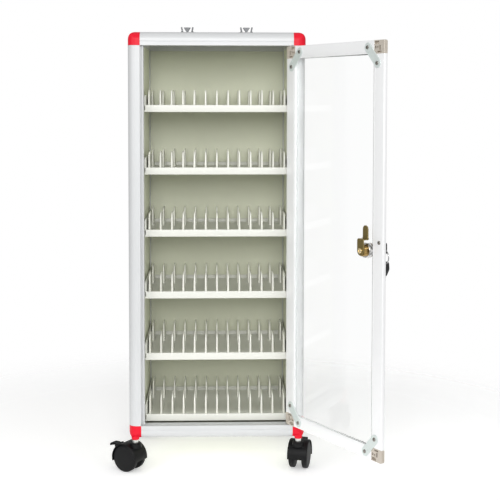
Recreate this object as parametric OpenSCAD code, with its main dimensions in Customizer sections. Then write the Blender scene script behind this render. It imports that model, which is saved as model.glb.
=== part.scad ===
// Upright phone locker cabinet: a frame of extruded posts and rails joined by
// moulded three-way corners, six trays with upright dividers, a framed clear
// door with a cam lock, a folding carry handle and four braked twin castors.
// The origin is the centre of the underside of the bottom panel.
// -Y is the front, +X is the door's hinge side, and the door stands open.

/* [Frame] */
// Width over the posts
cabinet_w = 320; // [300:1:360]
// Depth over the posts
cabinet_d = 240; // [220:1:280]
// Height of the frame, without its castors
frame_h = 738; // [730:1:780]
// Side of the square corner posts
post_w = 22; // [21:0.5:25]
// Height of the frame rails
rail_h = 24; // [22:0.5:27]
// Radius of the outer edges of posts and rails
edge_r = 14; // [3:0.5:14.5]
// Side of the square core inside posts and rails
core_w = 12; // [10:0.5:12]
// Thickness of the wall, top, bottom and back panels
panel_t = 4; // [3:0.5:4.5]
// Distance of a panel from the outer face it lies behind
panel_inset = 4; // [3:0.5:5]
// Depth of the grooves that hold the panels
groove_d = 4; // [3:0.5:4.5]
// Height of the step round the bottom panel's underside
panel_step = 0.5; // [0.3:0.1:1]
// Thickness of the lips that hold the side panels
lip_t = 2; // [1.5:0.25:3]
// How far back the lips reach from the frame's face
lip_reach = 24; // [22:0.5:28]

/* [Corner connectors] */
// Length of the tongues inside posts and rails
tongue_l = 25; // [15:1:35]
// Clearance round a tongue
tongue_gap = 0.1; // [0.05:0.05:0.3]
// Diameter of the boss under a bottom corner
boss_dia = 14; // [13:0.5:18]
// Height of the boss under a bottom corner
boss_h = 3; // [2:0.5:4]

/* [Trays] */
// Number of trays
tray_count = 6; // [6]
// Distance from one tray to the next
tray_pitch = 113.8; // [108:0.2:116]
// Height of the lowest tray over the frame's foot
tray_rise = 25.5; // [25:0.5:30]
// Distance of the tray's front edge behind the frame's face
tray_setback = 27; // [26.5:0.5:29]
// Depth of a tray from front edge to rear edge
tray_depth = 199; // [190:1:200]
// Thickness of the tray's floor and sides
tray_t = 2.5; // [2:0.25:3]
// Height of the tray's front and rear edges
tray_lip_h = 13; // [10:0.5:16]
// Height of the tray's floor over the foot of its front edge
tray_floor_rise = 3; // [1:0.5:5]
// Height of the tray's end walls
tray_end_h = 28; // [22:0.5:34]

/* [Dividers] */
// Dividers in a row
divider_count = 13; // [9:1:14]
// Distance of a row's end dividers from the tray's ends
divider_edge = 6.9; // [6.5:0.1:12]
// Thickness of a divider
divider_t = 4; // [2.5:0.25:5]
// Length of a divider from front to rear
divider_l = 44; // [30:1:55]
// Height of a divider over the tray's floor
divider_h = 35; // [26:0.5:42]
// Radius of a divider's upper corners
divider_r = 9; // [3:0.5:12]
// Distance of the front row behind the tray's front edge
front_row_y = 29; // [4:1:80]
// Distance of the rear row behind the tray's front edge
rear_row_y = 138; // [110:1:146]

/* [Tray rivets] */
// Diameter of a rivet's shank
rivet_dia = 4; // [3:0.25:5]
// Diameter of a rivet's heads
rivet_head = 8; // [7:0.25:10]
// Height of a rivet's heads
rivet_head_h = 1.6; // [1:0.1:2.4]
// Height of the rivets over the tray's floor
rivet_rise = 15; // [10:0.5:18]
// Distance of a rivet from the tray's front or rear edge
rivet_inset = 56; // [30:1:80]

/* [Door] */
// Angle of the door from closed as it stands
door_open = 121; // [0:0.5:123.5]
// Clearance between the door and the rails above and below it
door_gap_z = 1.5; // [1:0.25:3]
// Distance from the hinge axis to the door's hinge edge
door_tail = 5; // [4.5:0.25:5.5]
// Clearance between the door's hinge edge and the post
door_gap_hinge = 1.5; // [1.25:0.25:3]
// Clearance between the door's free edge and the post
door_gap_free = 2; // [1:0.25:3]
// Distance of the hinge axis behind the frame's face
hinge_setback = 4; // [4:0.25:5]
// Width of the door's stiles
stile_w = 26; // [22:0.5:30]
// Height of the door's rails
door_rail_h = 22; // [18:0.5:26]
// Thickness of the door frame outside the hinge axis
door_out_t = 3; // [2.75:0.25:3.25]
// Thickness of the door frame inside the hinge axis
door_in_t = 4; // [3.5:0.25:4.5]
// Thickness of the clear pane
pane_t = 4; // [3:0.25:4]
// Depth of the pane's groove
pane_groove = 6; // [4:0.25:8]
// Distance of the core inside stiles and door rails from their outer edge
door_core_x = 4; // [3:0.25:5]
// Width of the core inside stiles and door rails
door_core_w = 7; // [5:0.25:8]
// Thickness of the core inside stiles and door rails
door_core_t = 3.5; // [3:0.25:4]
// Length of the tongues of the door's corner blocks
door_tongue_l = 18; // [10:1:22]
// Diameter of the hinge pins
pin_dia = 4; // [3.5:0.25:4.5]
// Length of a hinge pin inside the door
pin_in_door = 16; // [10:0.5:20]
// Length of a hinge pin inside the frame rail
pin_in_rail = 5; // [3:0.5:6]
// Clearance round a hinge pin in the frame rail
pin_gap = 0.05; // [0.03:0.01:0.1]
// Thickness of the stop strip behind the door's free edge
stop_t = 2; // [1.5:0.25:2.5]
// Clearance between the closed door and the stop strip
stop_gap = 0.4; // [0.3:0.1:0.6]
// How much deeper the strip beside the hinge lies
hinge_strip_back = 3; // [2.5:0.25:4]

/* [Door braces] */
// Width of a diagonal brace plate
brace_w = 15.5; // [12:0.5:16]
// Thickness of a brace plate
brace_t = 1.6; // [1:0.1:2]
// Distance of the brace's rail screw from the door's edge
brace_x = 41; // [38:1:60]
// Distance of the brace's stile screw from the door's end
brace_z = 37; // [34:1:50]
// Distance of the brace's stile screw from the door's edge
brace_edge = 16.5; // [16:0.25:18]
// Diameter of the brace screws
brace_screw = 3; // [2.5:0.25:4]
// Diameter of the brace screws' heads
brace_screw_head = 6.5; // [5.5:0.25:8]
// Height of the brace screws' heads
brace_screw_head_h = 1.8; // [1:0.1:2.2]
// Height of the free stile's own screw over the lock's axis
stile_screw_rise = 15; // [10:0.5:40]
// Distance of the free stile's own screw from the door's edge
stile_screw_edge = 9.75; // [8:0.25:14]
// Depth of the brace screws in the door frame
brace_screw_l = 2; // [1.5:0.25:2.25]

/* [Lock] */
// Height of the lock's axis over the frame's foot
lock_rise = 371; // [300:1:420]
// Distance of the lock's axis from the free stile
lock_offset = 13.5; // [13:0.25:16]
// Diameter of the lock's barrel
barrel_dia = 19; // [16:0.5:20]
// Length of the barrel behind the pane
barrel_l = 15; // [12:0.5:18]
// Diameter of the lock's front flange
flange_dia = 23; // [21:0.5:26]
// Thickness of the front flange
flange_t = 2.5; // [1.5:0.25:4]
// Width of the lock's nut across its flats
nut_w = 24; // [21:0.5:25]
// Thickness of the nut
nut_t = 7; // [5:0.5:8]
// Diameter of the turning plug
plug_dia = 12; // [10:0.5:13]
// Clearance round the plug
plug_gap = 0.05; // [0.03:0.01:0.1]
// Side of the plug's square end
plug_square = 7; // [6:0.25:8]
// Width of the cam
cam_w = 16; // [12:0.5:18]
// Width of the cam's tip
cam_tip_w = 13; // [9:0.5:14]
// Thickness of the cam
cam_t = 2; // [1.5:0.25:2.5]
// Distance of the cam's step from the lock's axis
cam_step = 17.5; // [16:0.5:22]
// Clearance between the closed cam and the stop strip
cam_gap = 0.4; // [0.3:0.1:0.6]
// How far the locked cam reaches behind the stop strip
cam_bite = 5.5; // [3:0.25:5.5]
// Diameter of the cam screw
cam_screw = 4; // [3:0.25:5]
// Depth of the cam screw in the plug
cam_screw_l = 3; // [2:0.5:3.5]
// Diameter of the cam screw's head
cam_screw_head = 9; // [7:0.5:11]
// Height of the cam screw's head
cam_screw_head_h = 2.5; // [2:0.25:3]

/* [Keys] */
// Width of a key's blade
blade_w = 8; // [6:0.25:8.5]
// Thickness of a key's blade
blade_t = 2; // [1.5:0.1:2.4]
// Length of a key's blade
blade_l = 25; // [24:1:32]
// Depth of the keyway in the plug
keyway_l = 17; // [12:1:17]
// Clearance between blade and keyway
keyway_gap = 0.1; // [0.05:0.05:0.2]
// Width of a key's head
key_head_w = 22; // [20:0.5:26]
// Length of a key's head
key_head_l = 24; // [23:0.5:30]
// Thickness of a key's head
key_head_t = 5; // [4:0.25:6]
// Diameter of the hole in a key's head
key_hole = 6; // [5:0.25:7]
// Distance of the key's hole from the end of its head
key_hole_edge = 5.5; // [5:0.25:7]
// Diameter of the key ring over its wire
ring_dia = 26; // [24:0.5:34]
// Diameter of the key ring's wire
ring_wire = 1.8; // [1.4:0.1:2.2]

/* [Carry handle] */
// Distance between the handle's brackets
bracket_span = 112; // [90:1:150]
// Width of a handle bracket
bracket_w = 24; // [18:1:30]
// Depth of a handle bracket
bracket_d = 14; // [12:0.5:18]
// Height of a handle bracket over the top panel
bracket_h = 20; // [16:0.5:22]
// Height of the handle's pivot over the top panel
pivot_h = 8; // [6.5:0.25:9]
// Diameter of the handle's rod
rod_dia = 6; // [5:0.25:7]
// Clearance round the rod in its brackets
rod_gap = 0.06; // [0.03:0.01:0.1]
// Reach of the handle from its pivot
handle_reach = 40; // [32:1:60]
// Radius of the bends in the handle's rod
bend_r = 8; // [6:0.5:12]
// Diameter of the handle's grip
grip_dia = 9; // [8:0.25:11]
// Length of the handle's grip
grip_l = 62; // [40:1:64]

/* [Castors] */
// Height of a castor from the floor to the frame's foot
castor_h = 62; // [60:0.5:66]
// Diameter of a wheel
wheel_dia = 50; // [46:0.5:52]
// Width of one wheel
wheel_w = 10.5; // [8:0.5:13]
// Thickness of the web between a castor's wheels
web_t = 14; // [12:0.5:17]
// Clearance between moving parts of a castor
castor_gap = 0.5; // [0.4:0.05:1]
// Distance of the wheel axis from the swivel axis
trail = 14; // [12:0.5:17]
// Thickness of the castor's hood
hood_t = 1.6; // [1.4:0.1:2.6]
// How far the hood reaches sideways past a wheel
hood_lap = 0.5; // [0:0.25:2]
// Diameter of the turret round the castor's stem
turret_dia = 21; // [18:0.5:24]
// Height of the turret
turret_h = 9; // [8:0.5:12]
// Diameter of the castor's stem
stem_dia = 10; // [8:0.5:10]
// Diameter of the collar on the castor's stem
collar_dia = 11; // [10.5:0.5:14]
// Height of the collar on the castor's stem
collar_h = 5.5; // [1:0.5:6]
// Length of the stem inside the corner connector
stem_l = 24; // [18:0.5:24]
// Length of the stem inside the castor's turret
stem_in = 14; // [10:0.5:15]
// Clearance round the stem in the turret
stem_gap = 0.05; // [0.03:0.01:0.1]
// Diameter of the wheel axle
axle_dia = 6; // [5:0.25:8]
// Clearance round the axle in the web
axle_gap = 0.05; // [0.03:0.01:0.1]
// Diameter of the boss round the axle
axle_boss_dia = 20; // [16:0.5:24]
// Width of the brake lever's pedal
pedal_w = 16; // [12:0.5:20]
// Length of the brake lever from its pivot
pedal_l = 17; // [12:0.5:18]
// Thickness of the brake lever's pedal
pedal_t = 3; // [2:0.25:4]
// Depth to which the pedal's tip is turned down
pedal_drop = 2; // [1:0.25:3]
// Diameter of the brake lever's pivot pin
brake_pin = 3; // [2.5:0.25:3.5]
// Angle of the brake lever's pivot round the wheel axis, from level
brake_angle = 38; // [30:1:50]
// Direction in which the front left castor trails
trail_front_left = 147; // [0:1:359]
// Direction in which the front right castor trails
trail_front_right = 74; // [0:1:359]
// Direction in which the rear left castor trails
trail_rear_left = 35; // [0:1:359]
// Direction in which the rear right castor trails
trail_rear_right = 118; // [0:1:359]

/* [Hidden] */
$fn = 48;
eps = 0.5;
// Clearance between faces that must not touch
face_gap = 0.3;
// Clearance at the closed end of a hole
end_gap = 1;
// Play of a panel in its grooves
panel_play = 0.5;
frame_colour = "whitesmoke";
panel_colour = "lightgray";
tray_colour = "ivory";

// Levels of the frame, with the underside of the bottom panel at zero
frame_z0 = -panel_inset;
frame_z1 = frame_z0 + frame_h;
floor_z = frame_z0 - castor_h;
half_w = cabinet_w / 2;
half_d = cabinet_d / 2;
post_l = frame_h - 2 * rail_h;

// Panels
top_panel_z = frame_z1 - panel_inset - panel_t;
lip_x = post_w + panel_t + lip_t;
stop_y = hinge_setback + door_in_t + stop_gap;
slot_y = stop_y + stop_t;
side_panel_y = slot_y + hinge_strip_back + face_gap;
back_panel_y = half_d - panel_inset - panel_t;

// Trays
tray_half_w = half_w - lip_x;
tray_y0 = -half_d + tray_setback;
tray_y1 = tray_y0 + tray_depth;

// Door, drawn closed from its hinge axis
hinge_x = half_w - post_w - door_gap_hinge - door_tail;
hinge_y = -half_d + hinge_setback;
door_free = hinge_x + half_w - post_w - door_gap_free;
door_z0 = frame_z0 + rail_h + door_gap_z;
door_z1 = frame_z1 - rail_h - door_gap_z;
door_t = door_out_t + door_in_t;
pane_x0 = -door_free + stile_w - pane_groove + panel_play;
pane_x1 = door_tail - stile_w + pane_groove - panel_play;

// Lock, along +Y from the pane's middle
lock_x = -door_free + stile_w + lock_offset;
lock_z = frame_z0 + lock_rise;
flange_y = -pane_t / 2 - flange_t;
barrel_y = pane_t / 2 + barrel_l;
cam_y = barrel_y + face_gap;
cam_tip_y = door_in_t + stop_gap + stop_t + cam_gap;
cam_reach = door_free + lock_x + door_gap_free - (lip_x - post_w) + cam_bite;
key_head_y = flange_y + keyway_l - blade_l;
key_hole_y = key_head_y - key_head_l + key_hole_edge;
ring_r = (ring_dia - ring_wire) / 2;
ring_sag = ring_r - sqrt(ring_r * ring_r - key_head_t * key_head_t / 4);
ring_play = (key_hole - ring_wire - face_gap) / 2 - ring_sag;
ring_z = lock_z - ring_play - ring_r;
spare_z = ring_z - ring_r - ring_play;

// Castors
stem_x = half_w - post_w / 2;
stem_y = half_d - post_w / 2;
wheel_r = wheel_dia / 2;
wheel_z = wheel_r;
hood_r0 = wheel_r + castor_gap;
hood_r1 = hood_r0 + hood_t;
turret_z1 = castor_h - boss_h - collar_h - face_gap;
turret_z0 = turret_z1 - turret_h;
stem_z0 = turret_z1 - stem_in;
hood_w = web_t + 2 * (castor_gap + wheel_w + hood_lap);
brake_out = 1.7;
brake_x = trail + (hood_r1 + brake_out) * cos(brake_angle);
brake_z = wheel_z + (hood_r1 + brake_out) * sin(brake_angle);
brake_hub_r = 3.5;
brake_hub_w = web_t - 2 * face_gap;
castor_sites = [[-1, -1, trail_front_left], [1, -1, trail_front_right],
                [-1, 1, trail_rear_left], [1, 1, trail_rear_right]];

// ---- plane shapes ----

// Rectangle from the origin whose corner at the origin is rounded
module rounded_corner(w, h, r) {
    translate([r, 0]) square([w - r, h]);
    translate([0, r]) square([w, h - r]);
    intersection() {
        translate([r, r]) circle(r);
        square(r);
    }
}

// Rectangle from the origin with all four corners rounded
module rounded_rect(w, h, r) {
    translate([r, 0]) square([w - 2 * r, h]);
    translate([0, r]) square([w, h - 2 * r]);
    for (x = [r, w - r], y = [r, h - r]) translate([x, y]) circle(r);
}

// Section of a hollow bar with a rounded outer corner at the origin
module bar_section(w, h) {
    difference() {
        rounded_corner(w, h, edge_r);
        translate([(w - core_w) / 2, (h - core_w) / 2]) square(core_w);
    }
}

// Angled lip beside a bar, which forms the slot of a side panel, set back by back
module lip_section(back = 0) {
    step = 1;
    step_w = 2.5;
    translate([post_w, stop_y + back + step]) square([step_w, stop_t - step]);
    translate([post_w + step_w, stop_y + back]) square([lip_x - post_w - step_w, stop_t]);
    translate([post_w + panel_t, stop_y + back]) square([lip_t, lip_reach - stop_y - back]);
}

// ---- placing ----

// Outer corner of the frame on side sx, sy, with +X and +Y leading inwards
module at_corner(sx, sy) {
    translate([sx * half_w, sy * half_d, 0])
        mirror([sx > 0 ? 1 : 0, 0, 0]) mirror([0, sy > 0 ? 1 : 0, 0]) children();
}

// Outer corner of the frame on side sx, sy, sz, with all axes leading inwards
module at_vertex(sx, sy, sz) {
    translate([0, 0, sz > 0 ? frame_z1 : frame_z0])
        mirror([0, 0, sz > 0 ? 1 : 0]) at_corner(sx, sy) children();
}

// Door at its present angle, drawn closed with its hinge axis at the origin
module at_door() {
    translate([hinge_x, hinge_y, 0]) rotate([0, 0, door_open]) children();
}

// Lock axis along +Y of the closed door
module at_lock() {
    at_door() translate([lock_x, 0, lock_z]) children();
}

// Castor at its corner, from the floor, trailing along +X
module at_castor(i) {
    site = castor_sites[i];
    translate([site[0] * stem_x, site[1] * stem_y, floor_z]) rotate([0, 0, site[2]]) children();
}

// ---- frame ----

module post(sx, sy) {
    color(frame_colour) at_corner(sx, sy) difference() {
        translate([0, 0, frame_z0 + rail_h]) linear_extrude(post_l) difference() {
            union() {
                bar_section(post_w, post_w);
                lip_section(sx > 0 && sy < 0 ? hinge_strip_back : 0);
            }
            if (sy > 0) translate([post_w - groove_d, panel_inset]) square([groove_d + eps, panel_t]);
        }
        if (sx < 0 && sy < 0) strike_notch();
    }
}

// Opening in the front left post's lip into which the locked cam turns
module strike_notch() {
    turning_room = 5;
    notch_h = cam_w + 2 * turning_room;
    translate([post_w, slot_y, lock_z - notch_h / 2])
        cube([lip_x - post_w + eps, cam_gap * 2 + cam_t, notch_h]);
}

// Front and rear rails, with grooves for the flat panels and holes for the hinge pins
module cross_rail(sy, sz) {
    l = cabinet_w - 2 * post_w;
    step = sz < 0 ? panel_step : 0;
    color(frame_colour) difference() {
        at_vertex(-1, sy, sz) difference() {
            translate([post_w, 0, 0]) rotate([90, 0, 90]) linear_extrude(l) bar_section(post_w, rail_h);
            translate([post_w - eps, post_w - groove_d, panel_inset + step])
                cube([l + 2 * eps, groove_d + eps, panel_t - step]);
            if (sy > 0) translate([post_w - eps, panel_inset, rail_h - groove_d])
                cube([l + 2 * eps, panel_t, groove_d + eps]);
        }
        if (sy < 0) hinge_pin_hole(sz);
    }
}

// Hole for a hinge pin in the front rail above or below the door
module hinge_pin_hole(sz) {
    z = sz > 0 ? frame_z1 - rail_h : frame_z0 + rail_h - pin_in_rail - pin_gap;
    translate([hinge_x, hinge_y, sz > 0 ? z - eps : z])
        cylinder(d = pin_dia + 2 * pin_gap, h = pin_in_rail + pin_gap + eps);
}

// Left and right rails, with the slot of the side panel
module side_rail(sx, sz) {
    l = cabinet_d - 2 * post_w;
    step = sz < 0 ? panel_step : 0;
    color(frame_colour) at_vertex(sx, -1, sz) difference() {
        translate([0, post_w + l, 0]) rotate([90, 0, 0]) linear_extrude(l) union() {
            bar_section(post_w, rail_h);
            lip_section();
        }
        translate([post_w - groove_d, post_w - eps, panel_inset + step])
            cube([groove_d + eps, l + 2 * eps, panel_t - step]);
    }
}

module corner_connectors() {
    color("crimson") for (sx = [-1, 1], sy = [-1, 1], sz = [-1, 1])
        at_vertex(sx, sy, sz) corner_connector(sz < 0);
}

// Three-way corner with a tongue for each bar, and a boss for a castor
module corner_connector(bottom) {
    tongue_w = core_w - 2 * tongue_gap;
    mid_w = post_w / 2;
    mid_h = rail_h / 2;
    difference() {
        union() {
            intersection() {
                linear_extrude(rail_h) rounded_corner(post_w, post_w, edge_r);
                rotate([90, 0, 90]) linear_extrude(post_w) rounded_corner(post_w, rail_h, edge_r);
                translate([0, post_w, 0]) rotate([90, 0, 0])
                    linear_extrude(post_w) rounded_corner(post_w, rail_h, edge_r);
            }
            translate([post_w - eps, mid_w - tongue_w / 2, mid_h - tongue_w / 2])
                cube([tongue_l + eps, tongue_w, tongue_w]);
            translate([mid_w - tongue_w / 2, post_w - eps, mid_h - tongue_w / 2])
                cube([tongue_w, tongue_l + eps, tongue_w]);
            translate([mid_w - tongue_w / 2, mid_w - tongue_w / 2, rail_h - eps])
                cube([tongue_w, tongue_w, tongue_l + eps]);
            if (bottom) translate([mid_w, mid_w, -boss_h]) cylinder(d = boss_dia, h = boss_h + edge_r);
        }
        if (bottom) translate([mid_w, mid_w, -boss_h - eps])
            cylinder(d = stem_dia, h = boss_h + stem_l + end_gap + eps);
    }
}

// ---- panels ----

module panel_side(sx) {
    y0 = side_panel_y;
    l = cabinet_d - 2 * y0;
    h = frame_h - 2 * slot_y;
    notch_y = post_w - y0;
    notch_z = rail_h - slot_y;
    color(panel_colour) at_vertex(sx, -1, -1) translate([post_w, y0, slot_y]) difference() {
        cube([panel_t, l, h]);
        for (y = [-eps, l - notch_y], z = [-eps, h - notch_z])
            translate([-eps, y, z]) cube([panel_t + 2 * eps, notch_y + eps, notch_z + eps]);
        for (i = [0:tray_count - 1], y = rivet_ys())
            translate([-eps, y + half_d - y0, rivet_z(i) - frame_z0 - slot_y])
                rotate([0, 90, 0]) cylinder(d = rivet_dia, h = panel_t + 2 * eps);
    }
}

module panel_back() {
    x0 = post_w - groove_d;
    z0 = rail_h - groove_d;
    color(panel_colour) at_vertex(-1, 1, -1) translate([0, panel_inset, 0]) difference() {
        translate([x0, 0, z0]) cube([cabinet_w - 2 * x0, panel_t, frame_h - 2 * z0]);
        for (x = [x0 - eps, cabinet_w - post_w], z = [z0 - eps, frame_h - rail_h])
            translate([x, -eps, z]) cube([groove_d + eps, panel_t + 2 * eps, groove_d + eps]);
    }
}

// Block centred on the Z axis that stays inset behind the frame's outer faces
module inset_block(inset, z, h) {
    translate([inset - half_w, inset - half_d, z])
        cube([cabinet_w - 2 * inset, cabinet_d - 2 * inset, h]);
}

// Top or bottom panel with its underside at z, and its edges step higher underneath
module panel_flat(z, step = 0) {
    inset = post_w - groove_d;
    color(panel_colour) difference() {
        union() {
            inset_block(inset, z + step, panel_t - step);
            inset_block(post_w + panel_play, z, panel_t);
        }
        for (sx = [-1, 1], sy = [-1, 1]) at_corner(sx, sy)
            translate([inset - eps, inset - eps, z - eps])
                cube([groove_d + eps, groove_d + eps, panel_t + 2 * eps]);
    }
}

// ---- trays ----

function tray_z(i) = frame_z0 + tray_rise + (tray_count - 1 - i) * tray_pitch;
function floor_top(i) = tray_z(i) + tray_floor_rise + tray_t;
function rivet_z(i) = floor_top(i) + rivet_rise;
function rivet_ys() = [tray_y0 + rivet_inset, tray_y1 - rivet_inset];
function divider_x(k) = (2 * k / (divider_count - 1) - 1) * (tray_half_w - divider_edge);

// Tray number i from the top, counting from zero
module tray(i) {
    color(tray_colour) translate([0, 0, tray_z(i)]) difference() {
        union() {
            translate([-tray_half_w, tray_y0, tray_floor_rise])
                cube([2 * tray_half_w, tray_depth, tray_t]);
            for (y = [tray_y0, tray_y1 - tray_t]) translate([-tray_half_w, y, 0])
                cube([2 * tray_half_w, tray_t, tray_lip_h]);
            for (sx = [-1, 1]) mirror([sx > 0 ? 1 : 0, 0, 0]) tray_end();
        }
        for (y = rivet_ys()) translate([-half_w, y, rivet_z(i) - tray_z(i)])
            rotate([0, 90, 0]) cylinder(d = rivet_dia, h = cabinet_w);
    }
}

// Upturned end of a tray, with its upper corners rounded
module tray_end() {
    corner_r = 6;
    translate([-tray_half_w, tray_y0, tray_floor_rise]) rotate([90, 0, 90])
        linear_extrude(tray_t) union() {
            translate([0, tray_end_h]) mirror([0, 1]) rounded_rect(tray_depth, tray_end_h, corner_r);
            square([tray_depth, tray_end_h / 2]);
        }
}

// Row of upright dividers standing on every tray
module divider_row(y) {
    color(tray_colour) for (i = [0:tray_count - 1], k = [0:divider_count - 1])
        translate([divider_x(k) - divider_t / 2, y, floor_top(i)])
            rotate([90, 0, 90]) linear_extrude(divider_t) divider_outline();
}

module divider_outline() {
    square([divider_l, divider_h - divider_r]);
    translate([divider_r, 0]) square([divider_l - 2 * divider_r, divider_h]);
    for (y = [divider_r, divider_l - divider_r]) translate([y, divider_h - divider_r]) circle(divider_r);
}

module tray_rivets() {
    gap = lip_t;
    grip = panel_t + gap + tray_t;
    color("silver") for (i = [0:tray_count - 1], y = rivet_ys(), sx = [-1, 1])
        mirror([sx > 0 ? 1 : 0, 0, 0]) translate([post_w - half_w, y, rivet_z(i)]) rotate([0, 90, 0]) {
            translate([0, 0, -rivet_head_h]) cylinder(d = rivet_head, h = rivet_head_h);
            cylinder(d = rivet_dia, h = grip);
            translate([0, 0, panel_t]) cylinder(d = rivet_head, h = gap);
            translate([0, 0, grip]) cylinder(d = rivet_head, h = rivet_head_h);
        }
}

// ---- door, drawn closed with the hinge axis at the origin ----

// Section of a stile or door rail from its outer edge, w wide
module door_section(w) {
    edge = 1.5;
    difference() {
        translate([0, -door_out_t]) rounded_rect(w, door_t, edge);
        translate([w - pane_groove, -pane_t / 2]) square([pane_groove + eps, pane_t]);
        translate([door_core_x, -door_core_t / 2]) square([door_core_w, door_core_t]);
    }
}

module door_stile_solid(free) {
    z0 = door_z0 + door_rail_h;
    l = door_z1 - door_z0 - 2 * door_rail_h;
    difference() {
        translate([free ? -door_free : door_tail, 0, z0]) mirror([free ? 0 : 1, 0, 0])
            linear_extrude(l) door_section(stile_w);
        door_screw_holes();
    }
}

module door_stile(free) {
    color(frame_colour) at_door() door_stile_solid(free);
}

module door_rail(sz) {
    l = door_free + door_tail - 2 * stile_w;
    color(frame_colour) at_door() difference() {
        translate([-door_free + stile_w, 0, sz > 0 ? door_z1 : door_z0]) mirror([0, 0, sz > 0 ? 1 : 0])
            rotate([90, 0, 90]) linear_extrude(l) rotate(90) mirror([0, 1]) door_section(door_rail_h);
        door_screw_holes();
    }
}

// Corner of the door on side sx (-1 free, 1 hinge), with +X and +Z leading inwards
module at_door_corner(sx, sz) {
    translate([sx < 0 ? -door_free : door_tail, 0, sz > 0 ? door_z1 : door_z0])
        mirror([sx > 0 ? 1 : 0, 0, 0]) mirror([0, 0, sz > 0 ? 1 : 0]) children();
}

module door_corner_blocks() {
    color("tan") at_door() difference() {
        for (sx = [-1, 1], sz = [-1, 1]) at_door_corner(sx, sz) door_corner_block();
        for (sz = [-1, 1]) hinge_pin_bore(sz);
        door_screw_holes();
    }
}

// Cast corner with a tongue for the stile and one for the rail
module door_corner_block() {
    corner_r = 3;
    recess_dia = 4;
    recess_l = 2;
    gap = tongue_gap;
    tongue_w = door_core_w - 2 * gap;
    tongue_t = door_core_t - 2 * gap;
    difference() {
        union() {
            translate([0, door_in_t, 0]) rotate([90, 0, 0]) linear_extrude(door_t)
                rounded_corner(stile_w, door_rail_h, corner_r);
            translate([door_core_x + gap, -tongue_t / 2, door_rail_h - eps])
                cube([tongue_w, tongue_t, door_tongue_l + eps]);
            translate([stile_w - eps, -tongue_t / 2, door_core_x + gap])
                cube([door_tongue_l + eps, tongue_t, tongue_w]);
        }
        translate([stile_w - pane_groove, -pane_t / 2, door_rail_h - pane_groove])
            cube([pane_groove + eps, pane_t, pane_groove + eps]);
        for (p = [[stile_w / 2, door_rail_h / 4], [stile_w - 2 * recess_dia, door_rail_h / 2]])
            translate([p[0], door_in_t - recess_l, p[1]]) rotate([-90, 0, 0])
                cylinder(d = recess_dia, h = recess_l + eps);
    }
}

// Bore of a hinge pin in the door's corner block
module hinge_pin_bore(sz) {
    translate([0, 0, sz > 0 ? door_z1 - pin_in_door : door_z0 - eps])
        cylinder(d = pin_dia, h = pin_in_door + eps);
}

module door_hinge_pins() {
    l = pin_in_door + door_gap_z + pin_in_rail;
    color("silver") at_door() for (sz = [-1, 1])
        translate([0, 0, sz > 0 ? door_z1 - pin_in_door : door_z0 + pin_in_door - l])
            cylinder(d = pin_dia, h = l);
}

module door_pane() {
    z0 = door_z0 + door_rail_h - pane_groove + panel_play;
    z1 = door_z1 - door_rail_h + pane_groove - panel_play;
    color("azure", 0.4) at_door() difference() {
        translate([pane_x0, -pane_t / 2, z0]) cube([pane_x1 - pane_x0, pane_t, z1 - z0]);
        translate([lock_x, 0, lock_z]) rod_y(barrel_dia, -pane_t, pane_t);
        door_screw_holes();
    }
}

// Screw places of a brace, from its door corner
function brace_ends() = [[brace_x, door_rail_h / 2], [brace_edge, brace_z]];

// Places the children at every brace screw, on the door's inner face
module at_door_screws() {
    for (sx = [-1, 1], sz = [-1, 1]) at_door_corner(sx, sz) for (p = brace_ends())
        translate([p[0], door_in_t, p[1]]) children();
}

// Places the children at the free stile's own screw
module at_stile_screw() {
    translate([stile_screw_edge - door_free, door_in_t, lock_z + stile_screw_rise]) children();
}

module door_screw_holes() {
    at_door_screws() rod_y(brace_screw, -brace_screw_l, eps);
    at_stile_screw() rod_y(brace_screw, -brace_screw_l, eps);
}

module door_braces() {
    ends = brace_ends();
    run = ends[1] - ends[0];
    angle = atan2(run[1], run[0]);
    color("lightsteelblue") at_door() for (sx = [-1, 1], sz = [-1, 1]) at_door_corner(sx, sz)
        difference() {
            translate([0, door_in_t + brace_t, 0]) rotate([90, 0, 0]) linear_extrude(brace_t)
                translate(ends[0]) rotate(angle) union() {
                    translate([0, -brace_w / 2]) square([norm(run), brace_w]);
                    for (x = [0, norm(run)]) translate([x, 0]) circle(d = brace_w);
                }
            for (p = ends) translate([p[0], door_in_t - eps, p[1]]) rotate([-90, 0, 0])
                cylinder(d = brace_screw, h = brace_t + 2 * eps);
        }
}

// Screw whose head starts at grip over the door's inner face
module door_screw(grip) {
    rod_y(brace_screw, -brace_screw_l, grip);
    rod_y(brace_screw_head, grip, grip + brace_screw_head_h);
}

module door_screws() {
    color("silver") at_door() {
        at_door_screws() door_screw(brace_t);
        at_stile_screw() door_screw(0);
    }
}

// ---- lock and keys, along +Y of the closed door ----

// Cylinder along +Y from y0 to y1
module rod_y(d, y0, y1) {
    translate([0, y0, 0]) rotate([-90, 0, 0]) cylinder(d = d, h = y1 - y0);
}

module lock_barrel() {
    color("darkgoldenrod") at_lock() difference() {
        union() {
            rod_y(flange_dia, flange_y, -pane_t / 2);
            rod_y(barrel_dia, flange_y, barrel_y);
        }
        rod_y(plug_dia + 2 * plug_gap, flange_y - eps, barrel_y + eps);
    }
}

module lock_nut() {
    color("silver") at_lock() difference() {
        translate([0, pane_t / 2 + nut_t, 0]) rotate([90, 0, 0])
            rotate(30) cylinder(d = nut_w / cos(30), h = nut_t, $fn = 6);
        rod_y(barrel_dia, 0, barrel_y);
    }
}

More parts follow.
